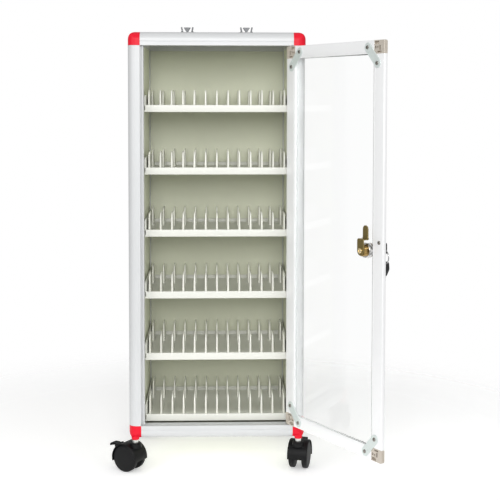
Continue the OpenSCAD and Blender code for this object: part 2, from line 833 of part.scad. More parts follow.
module lock_plug() {
    slot_w = blade_t + 2 * keyway_gap;
    slot_h = blade_w + 2 * keyway_gap;
    color("goldenrod") at_lock() difference() {
        union() {
            rod_y(plug_dia, flange_y, cam_y);
            translate([-plug_square / 2, cam_y - eps, -plug_square / 2])
                cube([plug_square, cam_t + eps, plug_square]);
        }
        translate([-slot_w / 2, flange_y - eps, -slot_h / 2]) cube([slot_w, keyway_l + eps, slot_h]);
        rod_y(cam_screw, cam_y - cam_screw_l, cam_y + cam_t + eps);
    }
}

// Cranked cam that points up when unlocked
module lock_cam() {
    color("silver") at_lock() difference() {
        union() {
            rod_y(cam_w, cam_y, cam_y + cam_t);
            translate([-cam_w / 2, cam_y, 0]) cube([cam_w, cam_t, cam_step + cam_t]);
            translate([-cam_w / 2, cam_tip_y, cam_step]) cube([cam_w, cam_y + cam_t - cam_tip_y, cam_t]);
            translate([-cam_tip_w / 2, cam_tip_y, cam_step])
                cube([cam_tip_w, cam_t, cam_reach - cam_tip_w / 2 - cam_step]);
            translate([0, 0, cam_reach - cam_tip_w / 2]) rod_y(cam_tip_w, cam_tip_y, cam_tip_y + cam_t);
        }
        translate([-plug_square / 2, cam_y - eps, -plug_square / 2])
            cube([plug_square, cam_t + 2 * eps, plug_square]);
    }
}

module lock_cam_screw() {
    color("dimgray") at_lock() {
        rod_y(cam_screw, cam_y - cam_screw_l, cam_y + cam_t);
        rod_y(cam_screw_head, cam_y + cam_t, cam_y + cam_t + cam_screw_head_h);
    }
}

// Key head in the XY plane, its hole at the origin and its blade along +Y
module key_head(head_l) {
    corner_r = 5;
    difference() {
        translate([-key_head_w / 2, -key_hole_edge]) rounded_rect(key_head_w, head_l, corner_r);
        circle(d = key_hole);
    }
}

// Key with its hole's centre at the origin and its blade along +Y, flat in the YZ plane
module key_solid() {
    blade_y = key_head_l - key_hole_edge;
    rotate([0, 90, 0]) translate([0, 0, -key_head_t / 2]) linear_extrude(key_head_t)
        key_head(key_head_l);
    translate([-blade_t / 2, blade_y, -blade_w / 2]) cube([blade_t, blade_l, blade_w]);
}

module key() {
    color("black") at_lock() translate([0, key_hole_y, 0]) key_solid();
}

module key_ring() {
    color("silver") at_lock() translate([0, key_hole_y, ring_z - lock_z]) rotate([90, 0, 0])
        rotate_extrude() translate([ring_r, 0]) circle(d = ring_wire, $fn = 24);
}

module spare_key() {
    color("black") at_lock() translate([0, key_hole_y, spare_z - lock_z]) rotate([-90, 0, 0]) key_solid();
}

// ---- carry handle ----

module handle_brackets() {
    z = top_panel_z + panel_t;
    plate_t = 2;
    plate_out = 5;
    color("silver") for (sx = [-1, 1]) translate([sx * bracket_span / 2, 0, z]) difference() {
        union() {
            translate([-bracket_w / 2, -bracket_d / 2 - plate_out, 0])
                cube([bracket_w, bracket_d + 2 * plate_out, plate_t]);
            translate([-bracket_w / 2, 0, 0]) rotate([90, 0, 90]) linear_extrude(bracket_w) union() {
                translate([-bracket_d / 2, 0]) square([bracket_d, bracket_h - bracket_d / 2]);
                translate([0, bracket_h - bracket_d / 2]) circle(d = bracket_d);
            }
        }
        translate([-bracket_w, 0, pivot_h]) rotate([0, 90, 0])
            cylinder(d = rod_dia + 2 * rod_gap, h = 2 * bracket_w);
    }
}

// Handle rod lying back from its pivots
module handle_bail() {
    arm_x = (bracket_span - bracket_w - rod_dia) / 2 - face_gap;
    color("silver") translate([0, 0, top_panel_z + panel_t + pivot_h]) {
        for (sx = [-1, 1]) mirror([sx > 0 ? 1 : 0, 0, 0]) {
            translate([-bracket_span / 2 - bracket_w / 2, 0, 0]) rotate([0, 90, 0])
                cylinder(d = rod_dia, h = bracket_span / 2 + bracket_w / 2 - arm_x);
            translate([-arm_x, 0, 0]) sphere(d = rod_dia);
            translate([-arm_x, 0, 0]) rotate([-90, 0, 0]) cylinder(d = rod_dia, h = handle_reach - bend_r);
            translate([bend_r - arm_x, handle_reach - bend_r, 0]) rotate([0, 0, 90])
                rotate_extrude(angle = 90) translate([bend_r, 0]) circle(d = rod_dia);
            translate([bend_r - arm_x, handle_reach, 0]) rotate([0, 90, 0])
                cylinder(d = rod_dia, h = arm_x - bend_r);
        }
    }
}

module handle_grip() {
    color("dimgray") translate([-grip_l / 2, handle_reach, top_panel_z + panel_t + pivot_h])
        rotate([0, 90, 0]) difference() {
            cylinder(d = grip_dia, h = grip_l);
            translate([0, 0, -eps]) cylinder(d = rod_dia, h = grip_l + 2 * eps);
        }
}

// ---- castors, drawn from the floor and trailing along +X ----

module castor_stems() {
    color("silver") for (i = [0:3]) at_castor(i) {
        translate([0, 0, stem_z0]) cylinder(d = stem_dia, h = castor_h + stem_l - stem_z0);
        translate([0, 0, turret_z1 + face_gap]) cylinder(d = collar_dia, h = collar_h);
    }
}

// Wedge in the XY plane between two angles, reaching past the radius r
module sector(r, a0, a1) {
    steps = 8;
    far = 2 * r;
    polygon(concat([[0, 0]], [for (i = [0:steps]) let (a = a0 + (a1 - a0) * i / steps)
        far * [cos(a), sin(a)]]));
}

// Cylinder of radius r and width w along Y, centred on the wheel axis
module round_wheel(r, w, y = 0) {
    translate([trail, y, wheel_z]) rotate([90, 0, 0]) cylinder(r = r, h = w, center = true);
}

// Cylinder of radius r and width w along Y, centred on the brake lever's pivot
module round_brake(r, w, y = 0) {
    translate([brake_x, y, brake_z]) rotate([90, 0, 0]) cylinder(r = r, h = w, center = true);
}

// Hood over both wheels, with the web between them and the turret round the stem
module castor_hood(i) {
    front_angle = -16;
    rear_angle = 188;
    cheek_w = 3;
    cheek_r = 4;
    cheek_y = web_t / 2;
    color("dimgray") at_castor(i) difference() {
        union() {
            translate([trail, 0, wheel_z]) rotate([90, 0, 0])
                linear_extrude(hood_w, center = true) intersection() {
                    circle(hood_r1);
                    sector(hood_r1, front_angle, rear_angle);
                }
            round_wheel(axle_boss_dia / 2, web_t);
            translate([0, 0, turret_z0]) cylinder(d = turret_dia, h = turret_h);
            for (sy = [-1, 1]) round_brake(cheek_r, cheek_w, sy * (cheek_y + cheek_w / 2));
            round_brake(brake_pin / 2, 2 * cheek_y + cheek_w);
        }
        for (sy = [-1, 1]) round_wheel(hood_r0, hood_w, sy * (web_t + hood_w) / 2);
        round_wheel(axle_dia / 2 + axle_gap, 2 * web_t);
        translate([0, 0, stem_z0 - end_gap])
            cylinder(d = stem_dia + 2 * stem_gap, h = stem_in + end_gap + eps);
        difference() {
            round_brake(brake_hub_r + castor_gap, 2 * cheek_y);
            round_brake(brake_pin / 2, 2 * hood_w);
        }
    }
}

// Two wheels and the axle that joins them
module castor_wheels(i) {
    half = web_t / 2 + castor_gap;
    cap_t = 3;
    edge = 1;
    bevel_r = 7;
    axle_in = wheel_w - cap_t;
    color("black") at_castor(i) translate([trail, 0, wheel_z]) rotate([90, 0, 0]) {
        cylinder(d = axle_dia, h = 2 * (half + axle_in), center = true);
        for (s = [0, 1]) mirror([0, 0, s]) translate([0, 0, half]) difference() {
            rotate_extrude() polygon([[0, 0], [wheel_r - edge, 0], [wheel_r, edge],
                [wheel_r, wheel_w - cap_t], [wheel_r - bevel_r, wheel_w], [0, wheel_w]]);
            translate([0, 0, -eps]) cylinder(d = axle_dia, h = axle_in + eps);
        }
    }
}

// Foot lever with its tip turned down
module brake_lever(i) {
    neck_l = 5;
    color("dimgray") at_castor(i) difference() {
        union() {
            round_brake(brake_hub_r, brake_hub_w);
            translate([brake_x, 0, brake_z]) {
                translate([0, -brake_hub_w / 2, eps]) cube([pedal_l, brake_hub_w, pedal_t]);
                translate([neck_l, -pedal_w / 2, eps]) cube([pedal_l - neck_l, pedal_w, pedal_t]);
                translate([pedal_l - pedal_t, -pedal_w / 2, eps - pedal_drop])
                    cube([pedal_t, pedal_w, pedal_drop + pedal_t]);
            }
        }
        round_brake(brake_pin / 2 + stem_gap, brake_hub_w + 2 * eps);
    }
}

post(-1, -1);  // post_front_left
post(1, -1);  // post_front_right
post(-1, 1);  // post_rear_left
post(1, 1);  // post_rear_right
cross_rail(-1, 1);  // rail_top_front
cross_rail(1, 1);  // rail_top_rear
side_rail(-1, 1);  // rail_top_left
side_rail(1, 1);  // rail_top_right
cross_rail(-1, -1);  // rail_bottom_front
cross_rail(1, -1);  // rail_bottom_rear
side_rail(-1, -1);  // rail_bottom_left
side_rail(1, -1);  // rail_bottom_right
corner_connectors();
panel_side(-1);  // panel_left
panel_side(1);  // panel_right
panel_back();
panel_flat(top_panel_z);  // panel_top
panel_flat(0, panel_step);  // panel_bottom
tray(0);  // tray_1
tray(1);  // tray_2
tray(2);  // tray_3
tray(3);  // tray_4
tray(4);  // tray_5
tray(5);  // tray_6
divider_row(tray_y0 + front_row_y);  // front_dividers
divider_row(tray_y0 + rear_row_y);  // rear_dividers
tray_rivets();
door_stile(false);  // door_stile_hinge
door_stile(true);  // door_stile_free
door_rail(1);  // door_rail_top
door_rail(-1);  // door_rail_bottom
door_corner_blocks();
door_pane();
door_braces();
door_screws();
door_hinge_pins();
lock_barrel();
lock_nut();
lock_plug();
lock_cam();
lock_cam_screw();
key();
key_ring();
spare_key();
handle_brackets();
handle_bail();
handle_grip();
castor_stems();
castor_hood(0);  // castor_hood_front_left
castor_hood(1);  // castor_hood_front_right
castor_hood(2);  // castor_hood_rear_left
castor_hood(3);  // castor_hood_rear_right
castor_wheels(0);  // castor_wheels_front_left
castor_wheels(1);  // castor_wheels_front_right
castor_wheels(2);  // castor_wheels_rear_left
castor_wheels(3);  // castor_wheels_rear_right
brake_lever(0);  // brake_lever_front_left
brake_lever(1);  // brake_lever_front_right
brake_lever(2);  // brake_lever_rear_left
brake_lever(3);  // brake_lever_rear_right
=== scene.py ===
import math

import bmesh
import bpy
from mathutils import Matrix, Vector


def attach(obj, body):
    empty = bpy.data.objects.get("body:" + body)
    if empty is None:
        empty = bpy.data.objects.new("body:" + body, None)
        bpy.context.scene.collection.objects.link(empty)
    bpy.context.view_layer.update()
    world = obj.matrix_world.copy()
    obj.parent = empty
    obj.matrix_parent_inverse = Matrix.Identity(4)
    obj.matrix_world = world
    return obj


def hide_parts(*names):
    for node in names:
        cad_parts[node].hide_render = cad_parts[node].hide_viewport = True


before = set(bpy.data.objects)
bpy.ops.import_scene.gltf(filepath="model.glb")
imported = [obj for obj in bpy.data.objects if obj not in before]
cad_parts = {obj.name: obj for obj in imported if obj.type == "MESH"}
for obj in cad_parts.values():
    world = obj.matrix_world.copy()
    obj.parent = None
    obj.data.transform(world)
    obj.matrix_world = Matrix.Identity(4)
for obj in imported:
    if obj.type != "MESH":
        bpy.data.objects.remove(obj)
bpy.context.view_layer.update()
print("frame loaded")

# lengths up to the camera are millimetres, and meshes are scaled to metres when a piece is made
toMetres = Matrix.Scale(0.001, 4)

# sizes that several pieces share

cabinet = {
    "halfWidth": 160, "halfDepth": 120, "foot": -4, "top": 734,
    "post": 22, "rail": 24, "edge": 14, "core": 12,
    "stripStart": 8.4, "stripThickness": 2, "stripStep": 2.5,
    "lipOuter": 26, "lipInner": 28, "lipDepth": 24, "hingeStripBack": 3,
    "line": 16.8, "lineWidth": 1.4, "lineDepth": 0.6, "strikeHeight": 26, "strikeDepth": 2.8,
}
tray = {
    "count": 6, "pitch": 113.8, "foot": 21.5, "halfWidth": 132, "front": -93, "rear": 106,
    "sheet": 2.5, "lip": 13, "floorRise": 3, "endHeight": 28, "endRadius": 6,
}
dividers = {
    "count": 13, "span": 250.2, "thickness": 4, "topThickness": 2.1, "length": 44,
    "height": 35, "radius": 9, "frontRow": -64, "rearRow": 45,
}
door = {
    "hinge": (131.5, -116), "angle": 121, "free": 267.5, "tail": 5,
    "low": 21.5, "high": 708.5, "stile": 26, "rail": 22, "out": 3, "inside": 4,
    "pane": 4, "groove": 6, "panePlay": 0.5, "coreX": 4, "coreWidth": 7, "coreThickness": 3.5,
    "tongue": 18,
}
lock = {"x": -228, "z": 367, "flange": -4.5, "barrelEnd": 17, "cam": 17.3, "camTip": 6.8}
castor = {
    "floor": -66, "wheelRadius": 25, "wheelWidth": 10.5, "web": 14, "gap": 0.5, "trail": 14,
    "hoodInner": 25.5, "hoodOuter": 27.1, "hoodWidth": 37, "brakeX": 36.69, "brakeZ": 42.73,
    "turretLow": 44.2, "turretHigh": 53.2, "stemLow": 39.2, "stemTop": 86,
}
castorSites = {
    "front_left": (-149, -109, 147), "front_right": (149, -109, 74),
    "rear_left": (-149, 109, 35), "rear_right": (149, 109, 118),
}
handle = {"base": 730, "pivot": 8, "reach": 40, "span": 112, "rod": 6, "bend": 8}


# outlines

def arcPoints(cx, cy, radius, start, end, steps):
    angles = [math.radians(start + (end - start) * i / steps) for i in range(steps + 1)]
    return [Vector((cx + radius * math.cos(a), cy + radius * math.sin(a))) for a in angles]


def roundedLoop(points, radii, steps=4):
    # closed outline with its corners rounded, a radius for each corner or one for all
    points = [Vector(p) for p in points]
    if not hasattr(radii, "__len__"):
        radii = [radii] * len(points)
    loop = []
    for i, (point, radius) in enumerate(zip(points, radii)):
        if radius <= 0:
            loop.append(point)
            continue
        before = points[i - 1] - point
        after = points[(i + 1) % len(points)] - point
        half = before.angle(after) / 2
        reach = min(radius / math.tan(half), 0.49 * before.length, 0.49 * after.length)
        radius = reach * math.tan(half)
        middle = point + (before.normalized() + after.normalized()).normalized() * (radius / math.sin(half))
        first = point + before.normalized() * reach - middle
        last = point + after.normalized() * reach - middle
        start = math.atan2(first.y, first.x)
        turn = (math.atan2(last.y, last.x) - start + math.pi) % (2 * math.pi) - math.pi
        for k in range(steps + 1):
            a = start + turn * k / steps
            loop.append(middle + Vector((math.cos(a), math.sin(a))) * radius)
    return loop


def rectangle(x0, y0, x1, y1):
    return [(x0, y0), (x1, y0), (x1, y1), (x0, y1)]


def holeLoop(cx, cy, radius, steps=24):
    return arcPoints(cx, cy, radius, 0, 360 - 360 / steps, steps - 1)[::-1]


def insetLoop(loop, amount):
    shrunk = []
    for i, point in enumerate(loop):
        first = (point - loop[i - 1]).normalized()
        last = (loop[(i + 1) % len(loop)] - point).normalized()
        side = Vector((-first.y, first.x))
        middle = side + Vector((-last.y, last.x))
        middle = side if middle.length < 1e-6 else middle.normalized()
        shrunk.append(point + middle * (amount / max(0.4, middle.dot(side))))
    return shrunk


# solids

def bridge(bm, rows, closed=False, caps=False):
    # faces between rows of vertices; closed joins the last row to the first, caps fill both ends
    for a, b in zip(rows, rows[1:] + rows[:1] if closed else rows[1:]):
        for i in range(max(len(a), len(b))):
            j = i + 1
            corners = (a[i % len(a)], a[j % len(a)], b[j % len(b)], b[i % len(b)])
            bm.faces.new(list(dict.fromkeys(corners)))
    if caps:
        for row in (rows[0][::-1], rows[-1]):
            if len(row) > 1:
                bm.faces.new(row)


def addExtrusion(bm, outline, low, high, place=Matrix(), edge=0.3, holes=()):
    # outline runs counterclockwise, holes clockwise, and the length runs along local Z
    outline = [Vector(p) for p in outline]
    levels = [(outline, low), (outline, high)]
    if edge:
        inner = insetLoop(outline, edge)
        levels = [(inner, low), (outline, low + edge), (outline, high - edge), (inner, high)]
    borders = []
    for rings in [levels] + [[(hole, low), (hole, high)] for hole in holes]:
        rows = [[bm.verts.new(place @ Vector((p[0], p[1], z))) for p in loop] for loop, z in rings]
        bridge(bm, rows, caps=not holes)
        borders.append((rows[0], rows[-1]))
    if holes:
        for rows in zip(*borders):
            edges = [bm.edges.get(pair) for row in rows for pair in zip(row, row[1:] + row[:1])]
            bmesh.ops.triangle_fill(bm, edges=edges, use_beauty=True)


def addBlock(bm, low, high, place=Matrix(), edge=0.4):
    outline = roundedLoop(rectangle(low[0], low[1], high[0], high[1]), edge, 2)
    addExtrusion(bm, outline, low[2], high[2], place, edge)


def addLathe(bm, profile, place=Matrix(), steps=48, closed=False):
    # profile holds (radius, height) pairs round local Z
    angles = [2 * math.pi * i / steps for i in range(steps)]
    rings = [[bm.verts.new(place @ Vector((radius * math.cos(a), radius * math.sin(a), height)))
              for a in (angles if radius > 0 else angles[:1])] for radius, height in profile]
    bridge(bm, rings, closed, not closed)


def pinProfile(radius, low, high, bevel=0.5):
    return [(0, low), (radius - bevel, low), (radius, low + bevel),
            (radius, high - bevel), (radius - bevel, high), (0, high)]


def addSweep(bm, path, sectionAt, closed=False):
    # sectionAt(i) gives the section's (side, normal) offsets, turned along the path without twist
    path = [Vector(p) for p in path]
    count = len(path)
    rows, normal = [], None
    for i, point in enumerate(path):
        ahead = path[(i + 1) % count] if closed or i < count - 1 else point
        behind = path[i - 1] if closed or i > 0 else point
        along = (ahead - behind).normalized()
        if normal is None:
            normal = along.orthogonal().normalized() if abs(along.x) > 0.9 else Vector((1, 0, 0))
        normal = (normal - along * normal.dot(along)).normalized()
        side = along.cross(normal)
        rows.append([bm.verts.new(point + normal * a + side * b) for a, b in sectionAt(i)])
    bridge(bm, rows, closed, not closed)


def addTube(bm, path, radius, sides=20, closed=False):
    angles = [2 * math.pi * k / sides for k in range(sides)]
    ring = [(radius * math.cos(a), radius * math.sin(a)) for a in angles]
    addSweep(bm, path, lambda i: ring, closed)


def meshFrom(bm, name):
    mesh = bpy.data.meshes.new(name)
    bm.to_mesh(mesh)
    bm.free()
    return mesh


def newObject(name, data):
    obj = bpy.data.objects.new(name, data)
    bpy.context.scene.collection.objects.link(obj)
    return obj


def addCopies(bm, source, places):
    mesh = meshFrom(source, "copied")
    for place in places:
        before = len(bm.verts)
        bm.from_mesh(mesh)
        bm.verts.ensure_lookup_table()
        bmesh.ops.transform(bm, matrix=place, verts=bm.verts[before:])
    bpy.data.meshes.remove(mesh)


def paintFrom(bm, first):
    # the faces from the given one on take the piece's second finish
    bm.faces.ensure_lookup_table()
    for face in bm.faces[first:]:
        face.material_index = 1


def temporary(bm, name):
    bmesh.ops.recalc_face_normals(bm, faces=bm.faces)
    return newObject(name, meshFrom(bm, name))


def evaluatedMesh(obj):
    bpy.context.view_layer.update()
    graph = bpy.context.evaluated_depsgraph_get()
    return bpy.data.meshes.new_from_object(obj.evaluated_get(graph))


def removeObjects(*objs):
    for obj in objs:
        mesh = obj.data
        bpy.data.objects.remove(obj)
        bpy.data.meshes.remove(mesh)


def carved(solid, cutter, crossing=False):
    # solid without what cutter fills; crossing is for shells that run through each other
    body, tool = temporary(solid, "carvedBody"), temporary(cutter, "carvedTool")
    cut = body.modifiers.new("cut", "BOOLEAN")
    cut.operation, cut.solver, cut.object = "DIFFERENCE", "EXACT", tool
    cut.use_self = crossing
    mesh = evaluatedMesh(body)
    result = bmesh.new()
    result.from_mesh(mesh)
    bpy.data.meshes.remove(mesh)
    removeObjects(body, tool)
    return result


# placing

def turned(angle, axis):
    return Matrix.Rotation(math.radians(angle), 4, axis)


def moved(x, y, z):
    return Matrix.Translation((x, y, z))


def atVertex(sx, sy, sz):
    # outer corner of the frame, with all axes leading inwards
    return moved(sx * cabinet["halfWidth"], sy * cabinet["halfDepth"],
                 cabinet["top"] if sz > 0 else cabinet["foot"]) @ Matrix.Diagonal((-sx, -sy, -sz, 1))


atDoor = moved(door["hinge"][0], door["hinge"][1], 0) @ turned(door["angle"], "Z")
atLock = atDoor @ moved(lock["x"], 0, lock["z"])
lockAxis = atLock @ turned(-90, "X")  # local Z runs along the lock from outside to inside


def atDoorCorner(sx, sz):
    # corner of the closed door, with X and Z leading inwards
    return atDoor @ moved(door["tail"] if sx > 0 else -door["free"], 0,
                          door["high"] if sz > 0 else door["low"]) @ Matrix.Diagonal((-sx, 1, -sz, 1))


doorCorners = [atDoorCorner(sx, sz) for sx in (-1, 1) for sz in (-1, 1)]


def atCastor(site):
    x, y, angle = castorSites[site]
    return moved(x, y, castor["floor"]) @ turned(angle, "Z")


# finishes

def nodeGroup(name, inputs, outputs, kind="ShaderNodeTree"):
    group = bpy.data.node_groups.new(name, kind)
    for label, socketType, value in inputs:
        socket = group.interface.new_socket(label, in_out="INPUT", socket_type="NodeSocket" + socketType)
        if value is not None:
            socket.default_value = value
    for label, socketType in outputs:
        group.interface.new_socket(label, in_out="OUTPUT", socket_type="NodeSocket" + socketType)
    return group, group.nodes.new("NodeGroupInput").outputs, group.nodes.new("NodeGroupOutput")


def fillInputs(tree, node, inputs):
    # each input gets a fixed value or the output that feeds it
    for key, value in inputs.items():
        if isinstance(value, bpy.types.NodeSocket):
            tree.links.new(value, node.inputs[key])
        else:
            node.inputs[key].default_value = value


def addNode(tree, kind, inputs, **settings):
    node = tree.nodes.new(kind)
    for key, value in settings.items():
        setattr(node, key, value)
    fillInputs(tree, node, inputs)
    return node


def mathNode(tree, operation, a, b):
    return addNode(tree, "ShaderNodeMath", {0: a, 1: b}, operation=operation).outputs[0]


def grainGroup(name, stretch, detail):
    # cloudy tone and fine relief, stretched along the direction in which the surface was drawn
    group, start, end = nodeGroup(
        name,
        [("Color", "Color", (0.8, 0.8, 0.8, 1)), ("Position", "Vector", (0, 0, 0)), ("Cloud", "Float", 6),
         ("Grain", "Float", 900), ("Tone", "Float", 0.03), ("Roughness", "Float", 0.4),
         ("Spread", "Float", 0.06)],
        [("Color", "Color"), ("Roughness", "Float"), ("Height", "Float")])
    mapping = addNode(group, "ShaderNodeMapping", {"Vector": start["Position"], "Scale": stretch})
    cloud = addNode(group, "ShaderNodeTexNoise",
                    {"Vector": start["Position"], "Scale": start["Cloud"], "Detail": 3})
    grain = addNode(group, "ShaderNodeTexNoise",
                    {"Vector": mapping.outputs[0], "Scale": start["Grain"], "Detail": detail})
    blend = mathNode(group, "ADD", cloud.outputs["Fac"], grain.outputs["Fac"])
    centred = mathNode(group, "SUBTRACT", blend, 1.0)
    tone = mathNode(group, "ADD", mathNode(group, "MULTIPLY", centred, start["Tone"]), 1.0)
    shade = addNode(group, "ShaderNodeVectorMath", {0: start["Color"], "Scale": tone}, operation="SCALE")
    rough = mathNode(group, "MULTIPLY", centred, start["Spread"])
    fillInputs(group, end, {"Color": shade.outputs[0], "Height": grain.outputs["Fac"],
                            "Roughness": mathNode(group, "ADD", rough, start["Roughness"])})
    return group


grains = {
    "coated": grainGroup("coatedGrain", (1, 1, 0.12), 2),
    "moulded": grainGroup("mouldedGrain", (1, 1, 1), 4),
    "drawn": grainGroup("drawnGrain", (1, 0.06, 1), 3),
    "cast": grainGroup("castGrain", (1, 1, 1), 6),
}

# grain, colour, roughness, tone, bump, grain size, and what else differs from plain plastic
finishes = {
    "frame_silver": ("coated", (0.63, 0.64, 0.645), 0.5, 0.02, 0.02, 1200, {"metal": 0.15, "coat": 0.1}),
    "door_silver": ("coated", (0.9, 0.905, 0.91), 0.36, 0.02, 0.02, 1200, {"metal": 0.15, "coat": 0.25}),
    "corner_red": ("moulded", (0.75, 0.0025, 0.022), 0.42, 0.06, 0.03, 1500, {"specular": 0.3}),
    "panel_grey": ("moulded", (0.83, 0.85, 0.69), 0.5, 0.03, 0.02, 700, {}),
    "tray_cream": ("moulded", (0.75, 0.755, 0.695), 0.4, 0.02, 0.02, 900, {}),
    "divider_cream": ("moulded", (0.92, 0.92, 0.85), 0.42, 0.02, 0.02, 900, {}),
    "rivet_alloy": ("cast", (0.62, 0.62, 0.63), 0.32, 0.05, 0.03, 1600, {"metal": 1.0}),
    "cast_zinc": ("cast", (0.58, 0.525, 0.455), 0.46, 0.18, 0.12, 1400, {"metal": 0.3}),
    # near black painted shade for the faces inside the door casting's holes and slots
    "cast_painted_recess_shade": ("cast", (0.1, 0.095, 0.08), 0.7, 0.3, 0.2, 1400, {}),
    "brace_steel": ("drawn", (0.66, 0.72, 0.7), 0.34, 0.08, 0.04, 1800, {"metal": 0.25}),
    "bright_screw": ("cast", (0.33, 0.31, 0.285), 0.3, 0.2, 0.02, 1600, {"metal": 1.0}),
    "lock_brass": ("drawn", (0.42, 0.28, 0.1), 0.28, 0.12, 0.03, 1500, {"metal": 1.0}),
    "nut_chrome": ("drawn", (0.7, 0.69, 0.68), 0.18, 0.05, 0.02, 1500, {"metal": 1.0}),
    "cam_steel": ("drawn", (0.3, 0.23, 0.09), 0.3, 0.3, 0.03, 900, {"metal": 1.0}),
    "bolt_gold": ("cast", (0.85, 0.7, 0.42), 0.22, 0.1, 0.02, 1500, {"metal": 0.8}),
    "key_black": ("moulded", (0.012, 0.012, 0.013), 0.42, 0.2, 0.05, 2200, {}),
    "key_nickel": ("drawn", (0.34, 0.33, 0.28), 0.3, 0.1, 0.02, 1500, {"metal": 1.0}),
    "ring_steel": ("drawn", (0.5, 0.5, 0.51), 0.2, 0.05, 0.01, 1500, {"metal": 1.0}),
    "handle_chrome": ("drawn", (0.11, 0.113, 0.118), 0.42, 0.05, 0.01, 1500, {"metal": 1.0}),
    "grip_rubber": ("moulded", (0.02, 0.02, 0.021), 0.7, 0.2, 0.15, 2500, {}),
    "stem_steel": ("drawn", (0.72, 0.73, 0.7), 0.3, 0.05, 0.02, 1500, {"metal": 0.8}),
    "castor_black": ("moulded", (0.0035, 0.0037, 0.004), 0.45, 0.25, 0.08, 2000, {"specular": 0.2}),
    "bead_grey": ("moulded", (0.16, 0.165, 0.16), 0.6, 0.1, 0.05, 1800, {}),
    "wheel_black": ("moulded", (0.006, 0.0062, 0.0067), 0.5, 0.2, 0.1, 2400, {"specular": 0.2}),
}


def startMaterial(name):
    material = bpy.data.materials.new(name)
    material.use_nodes = True
    tree = material.node_tree
    place = tree.nodes.new("ShaderNodeTexCoord").outputs["Object"]
    return material, tree, tree.nodes["Principled BSDF"], place


def mixedSurface(tree, share, first, second, output=None):
    mix = addNode(tree, "ShaderNodeMixShader", {"Fac": share, 1: first.outputs[0], 2: second.outputs[0]})
    tree.links.new(mix.outputs[0], (output or tree.nodes["Material Output"]).inputs["Surface"])


def surfaceMaterial(name, look):
    material, tree, shader, place = startMaterial(name)
    grainName, color, rough, tone, bumpHeight, size, extra = look
    grain = addNode(tree, "ShaderNodeGroup",
                    {"Color": (*color, 1), "Position": place, "Cloud": 14, "Grain": size, "Tone": tone,
                     "Roughness": rough, "Spread": rough * 0.3}, node_tree=grains[grainName])
    bump = addNode(tree, "ShaderNodeBump",
                   {"Strength": bumpHeight, "Distance": 0.0004, "Height": grain.outputs["Height"]})
    fillInputs(tree, shader, {
        "Base Color": grain.outputs["Color"], "Roughness": grain.outputs["Roughness"],
        "Normal": bump.outputs["Normal"], "Metallic": extra.get("metal", 0),
        "Coat Weight": extra.get("coat", 0), "Coat Roughness": 0.2,
        "Specular IOR Level": extra.get("specular", 0.5)})
    return material


def paneMaterial():
    # clear sheet with a faint green body and small smears, letting light through to what it shades
    material, tree, shader, place = startMaterial("clear_pane")
    smear = addNode(tree, "ShaderNodeTexNoise", {"Vector": place, "Scale": 9, "Detail": 4})
    fillInputs(tree, shader, {
        "Base Color": (0.995, 1.0, 0.998, 1), "Metallic": 0, "Transmission Weight": 1, "IOR": 1.33,
        "Roughness": mathNode(tree, "MULTIPLY", smear.outputs["Fac"], 0.02)})
    clear = addNode(tree, "ShaderNodeBsdfTransparent", {"Color": (0.96, 0.975, 0.97, 1)})
    rays = tree.nodes.new("ShaderNodeLightPath")
    mixedSurface(tree, rays.outputs["Is Shadow Ray"], shader, clear)
    return material


materials = {name: surfaceMaterial(name, look) for name, look in finishes.items()}
materials["clear_pane"] = paneMaterial()
print("finishes made")


# making a piece

def nodePiece(node, suffix, slot, body="cabinet"):
    return {"name": node + suffix, "slot": slot, "body": body, "nodes": [node]}


def makePiece(piece, bm=None, mesh=None):
    # piece: name, slot, body, nodes it stands for, and the angle from which edges are sharp
    if mesh is None:
        bmesh.ops.recalc_face_normals(bm, faces=bm.faces)
        bm.transform(toMetres)
        mesh = meshFrom(bm, piece["name"])
    mesh.name = piece["name"]
    mesh.polygons.foreach_set("use_smooth", [True] * len(mesh.polygons))
    mesh.set_sharp_from_angle(angle=math.radians(piece.get("sharp", 32)))
    mesh.materials.clear()
    mesh.materials.append(materials[piece.get("finish", piece["slot"])])
    if "second" in piece:
        mesh.materials.append(materials[piece["second"]])
    obj = newObject(piece["name"], mesh)
    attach(obj, piece["body"])
    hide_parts(*piece["nodes"])


# repeated parts, laid out by Geometry Nodes

def spreadGroup():
    # puts a part on every point of the incoming mesh, turned a little about its own axis
    group, start, end = nodeGroup(
        "spreadParts",
        [("Spots", "Geometry", None), ("Part", "Object", None), ("Turn", "Float", None),
         ("Seed", "Int", None), ("Finish", "Material", None)],
        [("Parts", "Geometry")], "GeometryNodeTree")
    part = addNode(group, "GeometryNodeObjectInfo", {"Object": start["Part"]})
    stand = addNode(group, "GeometryNodeInputNamedAttribute", {"Name": "stand"}, data_type="FLOAT_VECTOR")
    spin = addNode(group, "FunctionNodeRandomValue", {3: start["Turn"], "Seed": start["Seed"]},
                   data_type="FLOAT")
    turn = addNode(group, "ShaderNodeCombineXYZ", {"Z": spin.outputs[1]})
    placed = addNode(group, "GeometryNodeInstanceOnPoints",
                     {"Points": start["Spots"], "Instance": part.outputs["Geometry"],
                      "Rotation": stand.outputs["Attribute"]})
    rotated = addNode(group, "GeometryNodeRotateInstances",
                      {"Instances": placed.outputs[0], "Rotation": turn.outputs[0]})
    real = addNode(group, "GeometryNodeRealizeInstances", {0: rotated.outputs[0]})
    finish = addNode(group, "GeometryNodeSetMaterial",
                     {"Geometry": real.outputs[0], "Material": start["Finish"]})
    group.links.new(finish.outputs[0], end.inputs[0])
    return group


spreadParts = spreadGroup()


